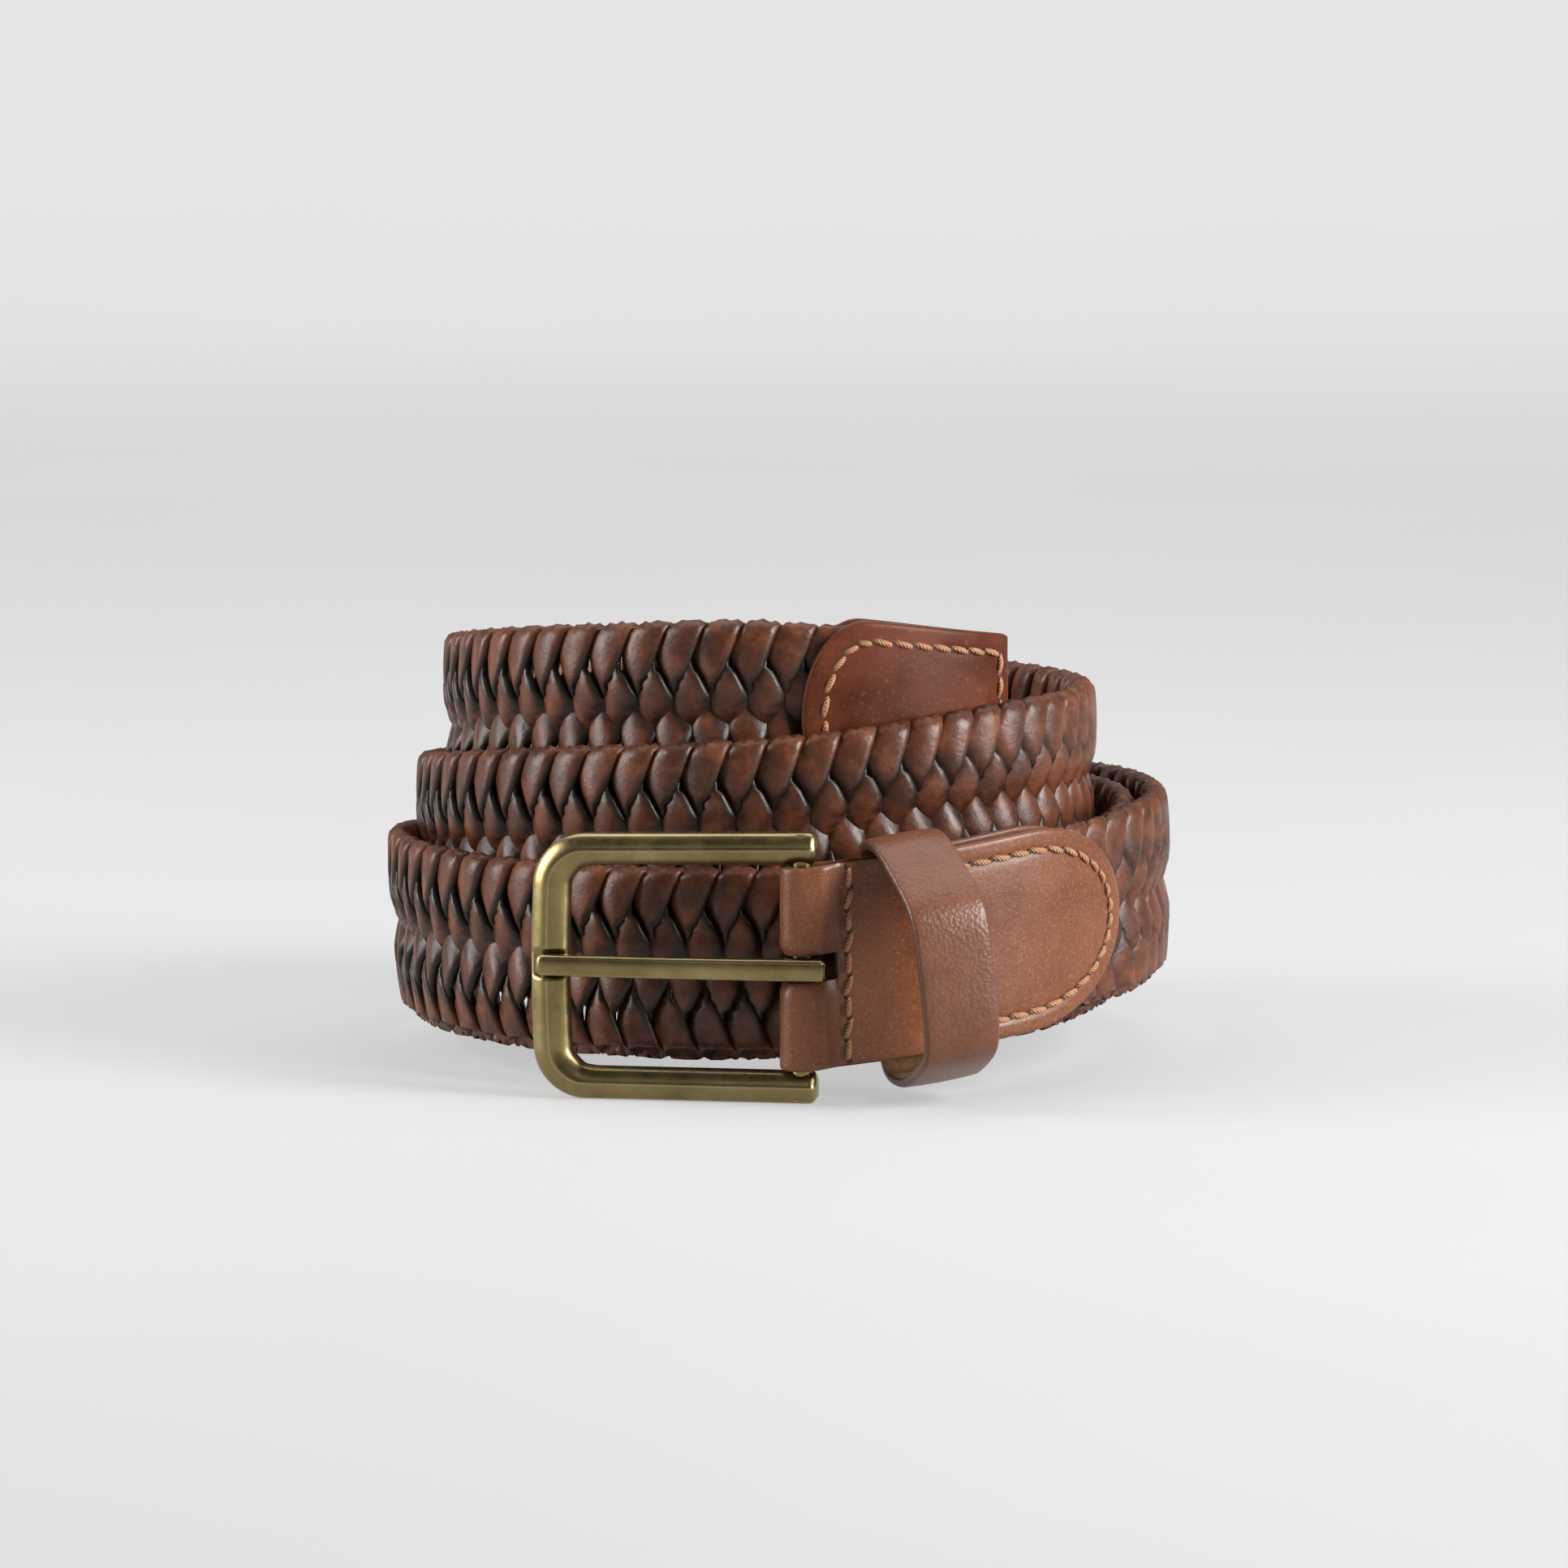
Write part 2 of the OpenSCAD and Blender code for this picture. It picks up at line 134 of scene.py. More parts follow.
def angle_after(angle, length):
    """Angle reached from another after a length along the strap, at the radius it starts from."""
    return angle + np.degrees(np.asarray(length) / path_r(angle))


def smooth_step(u):
    """Eased step from 0 to 1: 3 v squared less 2 v cubed, where v is u held between 0 and 1."""
    v = np.clip(u, 0, 1)
    return v * v * (3 - 2 * v)


def bell(u, power=2):
    """A hump of height 1 at u = 0: e to the minus u to the power."""
    return np.exp(-u ** power)


def quarter_round(u):
    """Height of a quarter circle, from 0 at u = 0 to 1 from u = 1."""
    return np.sqrt(np.clip(1 - (1 - np.clip(u, 0, 1)) ** 2, 0, 1))


def unit(v):
    """Vectors made one long."""
    return v / np.maximum(np.linalg.norm(v, axis=-1, keepdims=True), 1e-9)


STRAP_START = angle_after(PIN_ANGLE, SLOT_LEN + STRAP_GAP)
TAB_END = angle_after(PIN_ANGLE, TAB_LEN)
TIP_START = END_ANGLE - math.degrees(TIP_LEN / path_r(END_ANGLE))
PIN = on_path(PIN_ANGLE)
PIN[2] = PIN_HEIGHT
FRAME_HEADING = path_chord(PIN_ANGLE, 0.5)[0] - FRAME_TURN


# ---------------------------------------------------------------- meshes

def grid_quads(rows, cols, closed_rows=False, closed_cols=False):
    """Corner numbers of the quads of a grid of points, rows by cols."""
    i = np.arange(rows if closed_rows else rows - 1)
    j = np.arange(cols if closed_cols else cols - 1)
    a = i[:, None] * cols + j[None, :]
    b = i[:, None] * cols + (j[None, :] + 1) % cols
    c = ((i[:, None] + 1) % rows) * cols + (j[None, :] + 1) % cols
    d = ((i[:, None] + 1) % rows) * cols + j[None, :]
    return np.stack([a, b, c, d], -1)


def fill_mesh(name, points, quads, uv=None, numbers=None, merge=0.0, sharp=None, flip=False):
    """Mesh object from points in millimetres and quads, with a UV place and float attributes for
    each point. Points closer than merge become one."""
    points = np.asarray(points, float).reshape(-1, 3) * MM
    quads = np.asarray(quads, np.int32).reshape(-1, 4)
    if flip:
        quads = quads[:, ::-1]
    mesh = bpy.data.meshes.new(name)
    mesh.vertices.add(len(points))
    mesh.vertices.foreach_set("co", points.ravel().astype(np.float32))
    mesh.loops.add(quads.size)
    mesh.loops.foreach_set("vertex_index", quads.ravel())
    mesh.polygons.add(len(quads))
    mesh.polygons.foreach_set("loop_start", np.arange(0, quads.size, 4, dtype=np.int32))
    mesh.update(calc_edges=True)
    if uv is not None:
        layer = mesh.uv_layers.new(name="along_across")
        layer.data.foreach_set("uv", np.asarray(uv, np.float32).reshape(-1, 2)[quads.ravel()].ravel())
    for key, values in (numbers or {}).items():
        made = mesh.attributes.new(key, "FLOAT", "POINT")
        made.data.foreach_set("value", np.asarray(values, np.float32).ravel())
    if merge:
        work = bmesh.new()
        work.from_mesh(mesh)
        bmesh.ops.remove_doubles(work, verts=work.verts, dist=merge * MM)
        work.to_mesh(mesh)
        work.free()
    mesh.validate()
    mesh.shade_smooth()
    if sharp:
        mesh.set_sharp_from_angle(angle=math.radians(sharp))
    piece = bpy.data.objects.new(name, mesh)
    bpy.context.scene.collection.objects.link(piece)
    return piece


def capped(rings):
    """Rings of a tube with its ends closed by drawing the first and last ring in to their middles."""
    ends = [np.broadcast_to(ring.mean(1, keepdims=True), ring.shape) for ring in (rings[:1], rings[-1:])]
    return np.concatenate([ends[0], rings, ends[1]])


def for_caps(values):
    """A tube's values with those of its first and last ring repeated for the caps."""
    return np.concatenate([values[:1], values, values[-1:]])


def box_oval(count, wide_power, deep_power):
    """Section between a rectangle and an ellipse: the cosine and the sine, each with its size
    raised to a power below 1 and its sign kept."""
    v = np.linspace(0, 2 * np.pi, count, endpoint=False)
    return (np.sign(np.cos(v)) * np.abs(np.cos(v)) ** wide_power,
            np.sign(np.sin(v)) * np.abs(np.sin(v)) ** deep_power)


def outward_faces(piece):
    """Turns a closed mesh's faces outwards."""
    work = bmesh.new()
    work.from_mesh(piece.data)
    bmesh.ops.recalc_face_normals(work, faces=work.faces)
    work.to_mesh(piece.data)
    work.free()
    return piece


# ---------------------------------------------------------------- materials

class Finish:
    """A node material being built; each method adds one kind of node and returns its output."""

    def __init__(self, name):
        self.material = bpy.data.materials.new(name)
        self.material.use_nodes = True
        self.tree = self.material.node_tree
        self.shader = self.tree.nodes["Principled BSDF"]
        self.place = self.tree.nodes.new("ShaderNodeTexCoord").outputs["Object"]

    def join(self, value, socket):
        if isinstance(value, bpy.types.NodeSocket):
            self.tree.links.new(value, socket)
        else:
            socket.default_value = value

    def noise(self, scale, detail=4.0, roughness=0.55):
        node = self.tree.nodes.new("ShaderNodeTexNoise")
        self.join(self.place, node.inputs["Vector"])
        node.inputs["Scale"].default_value = scale
        node.inputs["Detail"].default_value = detail
        node.inputs["Roughness"].default_value = roughness
        return node.outputs["Fac"]

    def cells(self, scale):
        node = self.tree.nodes.new("ShaderNodeTexVoronoi")
        self.join(self.place, node.inputs["Vector"])
        node.inputs["Scale"].default_value = scale
        return node.outputs["Distance"]

    def uv(self):
        node = self.tree.nodes.new("ShaderNodeUVMap")
        node.uv_map = "along_across"
        return node.outputs["UV"]

    def number(self, name):
        node = self.tree.nodes.new("ShaderNodeAttribute")
        node.attribute_name = name
        return node.outputs["Fac"]

    def ramp(self, value, *stops):
        node = self.tree.nodes.new("ShaderNodeValToRGB")
        self.join(value, node.inputs["Fac"])
        ramp = node.color_ramp
        while len(ramp.elements) < len(stops):
            ramp.elements.new(0.5)
        for element, (at, colour) in zip(ramp.elements, stops):
            element.position = at
            element.color = (*colour, 1)
        return node.outputs["Color"]

    def range(self, value, low, high, to_low=0.0, to_high=1.0):
        node = self.tree.nodes.new("ShaderNodeMapRange")
        self.join(value, node.inputs["Value"])
        for key, number in (("From Min", low), ("From Max", high), ("To Min", to_low), ("To Max", to_high)):
            node.inputs[key].default_value = number
        return node.outputs["Result"]

    def mix(self, share, one, other):
        node = self.tree.nodes.new("ShaderNodeMix")
        node.data_type = "RGBA"
        self.join(share, node.inputs[0])
        for value, socket in ((one, node.inputs[6]), (other, node.inputs[7])):
            self.join((*value, 1) if isinstance(value, tuple) else value, socket)
        return node.outputs[2]

    def bump(self, height, distance, strength=1.0, under=None):
        node = self.tree.nodes.new("ShaderNodeBump")
        self.join(height, node.inputs["Height"])
        node.inputs["Distance"].default_value = distance
        node.inputs["Strength"].default_value = strength
        if under is not None:
            self.join(under, node.inputs["Normal"])
        return node.outputs["Normal"]

    def done(self, colour, roughness, normal=None, **sockets):
        self.join(colour, self.shader.inputs["Base Color"])
        self.join(roughness, self.shader.inputs["Roughness"])
        if normal is not None:
            self.join(normal, self.shader.inputs["Normal"])
        for key, value in sockets.items():
            self.shader.inputs[key.replace("_", " ")].default_value = value
        return self.material


def braid_leather():
    """Waxed brown strands: mottled, and burnished dark on the cut edges, with painted shade in the gaps where
    a strand dips under its neighbours.
    """
    f = Finish("braid_leather")
    mottle = f.noise(38, 5, 0.6)
    colour = f.ramp(mottle, (0.3, (0.036, 0.009, 0.004)), (0.55, (0.082, 0.022, 0.008)),
                    (0.75, (0.132, 0.041, 0.017)))
    fine = f.noise(900, 3, 0.6)
    colour = f.mix(f.range(fine, 0.35, 0.75, 0.0, 0.3), colour, (0.14, 0.060, 0.034))
    patch = f.noise(230, 3, 0.6)
    colour = f.mix(f.range(patch, 0.35, 0.5, 0.55, 0.0), colour, (0.026, 0.009, 0.005))
    colour = f.mix(f.range(patch, 0.52, 0.68, 0.0, 0.6), colour, (0.165, 0.052, 0.022))
    edge = f.number("edge")
    colour = f.mix(f.range(edge, 0.66, 0.98, 0.0, 0.92), colour, (0.011, 0.008, 0.005))
    # deep is painted shade: darker where a strand passes between front and back and dips under its
    # neighbours.
    deep = f.number("deep")
    colour = f.mix(f.range(deep, 0.15, 0.85, 0.0, 0.85), colour, (0.008, 0.004, 0.003))
    rough = f.range(f.noise(260, 3), 0.3, 0.7, 0.30, 0.48)
    grain = f.bump(fine, 0.00010, 0.5)
    pores = f.bump(f.cells(1500), 0.00006, 0.35, grain)
    return f.done(colour, rough, pores, Specular_IOR_Level=0.3)


def tab_leather():
    """Smooth brown leather: cloudy, with pale pores, a darker burnished edge and painted shade beside the
    buckle tab's fold.
    """
    f = Finish("tab_leather")
    cloud = f.noise(45, 5, 0.6)
    colour = f.ramp(cloud, (0.3, (0.082, 0.024, 0.009)), (0.5, (0.130, 0.042, 0.017)),
                    (0.72, (0.180, 0.066, 0.030)))
    speck = f.noise(2600, 2, 0.6)
    colour = f.mix(f.range(speck, 0.56, 0.70, 0.0, 0.5), colour, (0.34, 0.15, 0.075))
    colour = f.mix(f.range(f.noise(1900, 2), 0.58, 0.7, 0.0, 0.4), colour, (0.07, 0.020, 0.008))
    # The edge number also carries the painted shade beside the buckle tab's fold.
    edge = f.number("edge")
    colour = f.mix(f.range(edge, 0.45, 1.0, 0.0, 0.7), colour, (0.075, 0.030, 0.018))
    rough = f.range(f.noise(220, 3), 0.3, 0.7, 0.28, 0.42)
    grain = f.bump(f.noise(1500, 3, 0.65), 0.00008, 0.5)
    creases = f.bump(f.noise(240, 4, 0.6), 0.00018, 0.35, grain)
    return f.done(colour, rough, creases, Specular_IOR_Level=0.3)


def tip_leather():
    """The tip's leather, redder and more polished than the buckle tab's."""
    f = Finish("tip_leather")
    cloud = f.noise(55, 5, 0.6)
    colour = f.ramp(cloud, (0.3, (0.050, 0.011, 0.004)), (0.5, (0.085, 0.020, 0.008)),
                    (0.72, (0.125, 0.034, 0.014)))
    speck = f.noise(1100, 2, 0.6)
    colour = f.mix(f.range(speck, 0.60, 0.72, 0.0, 0.35), colour, (0.20, 0.075, 0.035))
    edge = f.number("edge")
    colour = f.mix(f.range(edge, 0.45, 1.0, 0.0, 0.7), colour, (0.055, 0.022, 0.014))
    rough = f.range(f.noise(220, 3), 0.3, 0.7, 0.32, 0.46)
    grain = f.bump(f.noise(1500, 3, 0.65), 0.00008, 0.5)
    return f.done(colour, rough, grain, Specular_IOR_Level=0.12)


def keeper_leather():
    """Pebbled outer face and a pale, matt flesh side inside the loop."""
    f = Finish("keeper_leather")
    cloud = f.noise(60, 4, 0.6)
    outer = f.ramp(cloud, (0.3, (0.100, 0.033, 0.015)), (0.7, (0.165, 0.064, 0.033)))
    pebble = f.cells(1500)
    outer = f.mix(f.range(pebble, 0.45, 0.9, 0.0, 0.35), outer, (0.06, 0.020, 0.009))
    flesh = f.ramp(f.noise(420, 4, 0.7), (0.3, (0.13, 0.062, 0.026)), (0.7, (0.27, 0.15, 0.07)))
    inside = f.number("inside")
    colour = f.mix(f.range(inside, 0.4, 0.6), outer, flesh)
    colour = f.mix(f.range(f.number("edge"), 0.5, 1.0, 0.0, 0.8), colour, (0.060, 0.028, 0.018))
    rough = f.mix(f.range(inside, 0.4, 0.6), (0.35, 0.35, 0.35), (0.85, 0.85, 0.85))
    grain = f.bump(pebble, 0.00014, 0.42)
    fine = f.bump(f.noise(1700, 3, 0.6), 0.00006, 0.5, grain)
    return f.done(colour, rough, fine, Specular_IOR_Level=0.35)


def aged_brass():
    """Antique brass: olive patina with fine scratches, rubbed bright along the ridges."""
    f = Finish("aged_brass")
    cloud = f.noise(70, 6, 0.65)
    colour = f.ramp(cloud, (0.28, (0.150, 0.115, 0.044)), (0.5, (0.230, 0.180, 0.078)),
                    (0.75, (0.330, 0.265, 0.125)))
    colour = f.mix(f.range(f.noise(620, 4, 0.7), 0.52, 0.72, 0.0, 0.25), colour, (0.13, 0.095, 0.040))
    worn = f.number("edge")
    colour = f.mix(f.range(worn, 0.25, 1.0, 0.0, 0.75), colour, (0.62, 0.52, 0.28))
    rough = f.range(f.noise(380, 5, 0.7), 0.3, 0.7, 0.24, 0.38)
    scratch = f.bump(f.noise(1400, 2, 0.5), 0.00002, 0.10)
    dents = f.bump(f.noise(120, 2, 0.5), 0.00012, 0.10, scratch)
    return f.done(colour, rough, dents, Metallic=1.0)


def waxed_thread():
    """Twisted waxed thread: a slanting two-ply ridge along its own length."""
    f = Finish("waxed_thread")
    twist = f.tree.nodes.new("ShaderNodeTexWave")
    f.join(f.uv(), twist.inputs["Vector"])
    twist.bands_direction = "DIAGONAL"
    twist.inputs["Scale"].default_value = 1.2
    ply = twist.outputs["Fac"]
    colour = f.mix(ply, (0.11, 0.034, 0.010), (0.46, 0.190, 0.070))
    colour = f.mix(f.range(f.noise(1500, 2), 0.4, 0.7, 0.0, 0.3), colour, (0.62, 0.33, 0.15))
    return f.done(colour, 0.5, f.bump(ply, 0.00012, 0.8), Sheen_Weight=0.15)


def hole_shadow():
    """Painted shade of a punched stitch hole, near black and mottled."""
    f = Finish("painted_hole_shade")
    colour = f.ramp(f.noise(1800, 2), (0.3, (0.010, 0.005, 0.003)), (0.7, (0.035, 0.016, 0.010)))
    return f.done(colour, f.range(f.noise(1300, 2), 0.3, 0.7, 0.6, 0.8))


def staple_steel():
    """Plain drawn steel wire with fine marks."""
    f = Finish("staple_steel")
    colour = f.ramp(f.noise(500, 4), (0.3, (0.42, 0.42, 0.43)), (0.7, (0.62, 0.62, 0.62)))
    rough = f.range(f.noise(1600, 3), 0.3, 0.7, 0.25, 0.42)
    return f.done(colour, rough, f.bump(f.noise(2400, 3), 0.00003, 0.4), Metallic=1.0)


BRAID = braid_leather()
TAB = tab_leather()
TIP = tip_leather()
KEEPER = keeper_leather()
BRASS = aged_brass()
THREAD = waxed_thread()
HOLE_SHADE = hole_shadow()
STEEL = staple_steel()


def finished(piece, material, body, slot_name, *nodes):
    """Gives a piece its finish and the body it moves with, and hides the CAD nodes it stands for; slot_name
    is not used.
    """
    piece.data.materials.clear()
    piece.data.materials.append(material)
    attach(piece, body)
    if nodes:
        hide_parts(*nodes)


# ---------------------------------------------------------------- the plaited strap

STRANDS = 5
HALF_CYCLE = 15.25              # length along the strap in which a strand climbs it once
STRAND_W = 6.9
STRAND_T = 2.3
WEAVE_H = 1.05                  # how far a strand's middle leaves the strap's middle
EDGE_WRAP = math.pi * WEAVE_H
FLAT_RUN = STRAP_W - 2 * (WEAVE_H + STRAND_T / 2)
LEG = FLAT_RUN + EDGE_WRAP
SHINGLE = 0.30                  # greatest roll of a strand's section, as a slope
STRAND_POINTS = 16
STATIONS_PER_HALF_CYCLE = 32
TABLE_STEPS = 6000
TAB_END_R = 64.0
TIP_START_R = 47.0
GROW_LEN = 8
PRESSED_ANGLE, PRESSED_REACH, PRESSED_DEPTH = 384, 19, 0.24


def length_table():
    """Length along the strap's middle for angles from its start to its end."""
    angles = np.linspace(STRAP_START, END_ANGLE - 1, TABLE_STEPS)
    steps = np.linalg.norm(np.diff(on_path(angles), axis=0), axis=1)
    return angles, np.concatenate([[0], np.cumsum(steps)])


ANGLES, LENGTHS = length_table()


def braid_share(angle):
    """Thickness of the braid as a share of its full thickness: flattened inside the tabs, and
    pressed in a little where the keeper's back lies against the second turn."""
    past_tab = np.radians(angle - TAB_END) * TAB_END_R
    to_tip = np.radians(TIP_START - angle) * TIP_START_R
    grown = np.minimum(smooth_step(past_tab / GROW_LEN), smooth_step(to_tip / GROW_LEN))
    flat = (CORE_T - 0.3) / STRAP_T
    pressed = 1 - PRESSED_DEPTH * bell((angle - PRESSED_ANGLE) / PRESSED_REACH, 4)
    return (flat + (1 - flat) * grown) * pressed


def weave_side(q):
    """Which side of the strap an upward strand is on, from -1, behind, to 1, in front: it goes
    behind, in front, behind, in front as q goes from the lower edge, 0, to the upper one, 1."""
    wave = np.sin(4 * np.pi * np.clip(q, 0.125, 0.875))
    return -np.tanh(1.9 * wave) / math.tanh(1.9)


def woven_place(c, c_dip):
    """Where a point of a strand lies across the strap, for its place c along the climb, which runs
    on over the edges, and the place c_dip that sets how far it has dipped. Even legs climb and odd
    ones go down; between two legs the strand makes a half turn over the strap's edge. Returns the
    rise, the offset outwards, the turn of the strand's face and the side it is on."""
    leg = np.floor(c / LEG)
    start = leg * LEG + EDGE_WRAP / 2
    at, dip = c - start, c_dip - start
    side = weave_side(np.clip(dip / FLAT_RUN, 0, 1))
    before = np.clip(-at / WEAVE_H, 0, math.pi / 2)
    after = np.clip((at - FLAT_RUN) / WEAVE_H, 0, math.pi / 2)
    rise = np.clip(at, 0, FLAT_RUN) - FLAT_RUN / 2 + WEAVE_H * (np.sin(after) - np.sin(before))
    out = np.where(at < 0, -WEAVE_H * np.cos(before), side * WEAVE_H)
    out = np.where(at > FLAT_RUN, WEAVE_H * np.cos(after), out)
    up = leg % 2 == 0
    face = np.where(up, 0.0, np.pi) + after - before
    return np.where(up, rise, -rise), out, face, side


def strand(k):
    """One strand. A flat leather section, crowned on both faces, is laid straight at the climbing
    slope on the strap's surface rolled out flat, and that surface is wound over the strap's edges
    and round the coil. Each point dips along a line parallel to the strands that cross it, and the
    section rolls a little, one way as it climbs and the other way as it goes down."""
    total = LENGTHS[-1]
    slope = math.atan2(LEG, HALF_CYCLE)
    s = np.linspace(0, total, int(total / HALF_CYCLE * STATIONS_PER_HALF_CYCLE))
    t = k * 2.0 / STRANDS + s / HALF_CYCLE
    c = t * LEG
    from_edge = t - np.round(t)
    wide, deep = box_oval(STRAND_POINTS, 0.55, 0.95)
    squeeze = 0.80 + 0.20 * smooth_step(np.abs(woven_place(c, c)[3]) * 1.15)
    squeeze = squeeze * (1 - 0.22 * bell(from_edge / 0.13))
    beta = (STRAND_W / 2 * wide)[None, :] * squeeze[:, None]
    roll = -SHINGLE * np.tanh(2.4 * np.sin(np.pi * t))
    angle = np.interp(np.clip(s[:, None] + beta * math.sin(slope), 0, total), LENGTHS, ANGLES)
    share = braid_share(angle)
    rise, out, face, side = woven_place(c[:, None] - beta * math.cos(slope), c[:, None] + beta * 0.55)
    height = ((STRAND_T / 2 * deep)[None, :] - beta * roll[:, None]) * share
    points = capped(on_path(angle, out * share + height * np.cos(face), rise + height * np.sin(face)))
    edge = np.abs(wide) * np.where(wide > 0, 1.12, 0.86) * (1 - 0.32 * bell(from_edge / 0.11))[:, None]
    # Painted shade for the gaps: strongest where the strand passes between the strap's front and back,
    # dipping under its neighbours.
    painted_dip_shade = np.clip(1.1 - np.abs(side), 0, 1)
    around = np.linspace(0, 1, STRAND_POINTS, endpoint=False)
    uv = np.stack(np.broadcast_arrays(for_caps(s)[:, None] * 0.1, around[None, :]), -1)
    return fill_mesh(f"strand_{k + 1}", points, grid_quads(len(points), STRAND_POINTS, False, True), uv,
                     {"edge": for_caps(edge), "deep": for_caps(painted_dip_shade)}, merge=0.002)


for k in range(STRANDS):
    stands_for = ["braided_strap"] if k == 0 else []
    finished(outward_faces(strand(k)), BRAID, "strap", "braid_leather", *stands_for)


# ---------------------------------------------------------------- leather tabs

def arch_half(before_end, half, arch):
    """Half the height of a tab's outline at a distance before the top of its elliptical arch."""
    return half * quarter_round(before_end / arch)


def arch_depth(before_end, rise, half, arch):
    """Distance in from a tab's outline: straight edges, then an ellipse."""
    u = 1 - np.clip(before_end, 0, arch) / arch
    e = np.sqrt(u * u + (rise / half) ** 2)
    slope = np.sqrt((u / arch) ** 2 + (rise / half**2) ** 2) / np.maximum(e, 1e-6)
    curved = (1 - e) / np.maximum(slope, 1e-6)
    return np.where(before_end >= arch, half - np.abs(rise), np.minimum(curved, half - np.abs(rise)))


def edge_drop(depth, radius):
    """How far a rounded edge falls below the face at a distance in from the outline."""
    return radius * (1 - quarter_round(depth / radius))


HALF_POINTS = 22
ALMOST_NOTHING = 0.002          # keeps an arch's last place from shrinking to a point
GROOVE_DEPTH, GROOVE_FROM = 0.34, 22


def across_places():
    """Shares of the half height from the middle to the edge, closer together near the edge."""
    return 1 - (1 - np.linspace(0, 1, HALF_POINTS)) ** 2.2


def leather_half(side_up, lengths, half, low_y, place, depth_of, thick, painted_fold_shade=lambda x: 0 * x):
    """Upper or lower half of a leather sheet. For each length the loop runs over the outer face
    from low_y to the edge and back over the inner face. place gives the point for a length, a rise
    and a height through the leather, from 0 at the inner face to its thickness; painted_fold_shade
    gives how much painted shade darkens the leather at a length. A groove follows the outline under
    the stitches. The loop is left open along the middle, where the two halves meet, and closed along a slot."""
    y = low_y[:, None] + (half - low_y)[:, None] * across_places()[None, :]
    length = lengths[:, None] + 0 * y
    depth = np.maximum(depth_of(length, y), 0)
    outer = thick - edge_drop(depth, 0.75)
    inner = edge_drop(depth, 0.35)
    y_loop = np.concatenate([y, y[:, ::-1]], 1) * side_up
    h_loop = np.concatenate([outer, inner[:, ::-1]], 1)
    l_loop = np.concatenate([length, length], 1)
    d_loop = np.concatenate([depth, depth[:, ::-1]], 1)
    groove = GROOVE_DEPTH * bell((d_loop - STITCH_INSET) / 0.6) * smooth_step((l_loop - GROOVE_FROM) / 4)
    outside = np.concatenate([np.ones_like(y), np.zeros_like(y)], 1)
    h_loop = h_loop - groove * outside
    points = place(l_loop, y_loop, h_loop)
    # edge holds the darker edge colour and the painted shade beside the fold.
    edge = np.maximum(np.exp(-d_loop / 0.55), painted_fold_shade(l_loop))
    uv = np.stack([l_loop * 0.01, y_loop * 0.01], -1)
    quads = grid_quads(len(lengths), y_loop.shape[1], False, True)
    kept = np.ones(quads.shape[:2], bool)
    kept[:, -1] = (low_y[:-1] > 0) | (low_y[1:] > 0)
    quads = quads[kept]
    if side_up < 0:
        quads = quads[:, ::-1]
    return points.reshape(-1, 3), quads, uv.reshape(-1, 2), edge.ravel()


def joined_halves(name, halves, flip=False):
    """One closed leather from its upper and lower halves."""
    points, quads, uv, edge, start = [], [], [], [], 0
    for p, q, t, e in halves:
        points.append(p)
        quads.append(q + start)
        uv.append(t)
        edge.append(e)
        start += len(p)
    return fill_mesh(name, np.concatenate(points), np.concatenate(quads), np.concatenate(uv),
                     {"edge": np.concatenate(edge)}, merge=0.004, sharp=45, flip=flip)


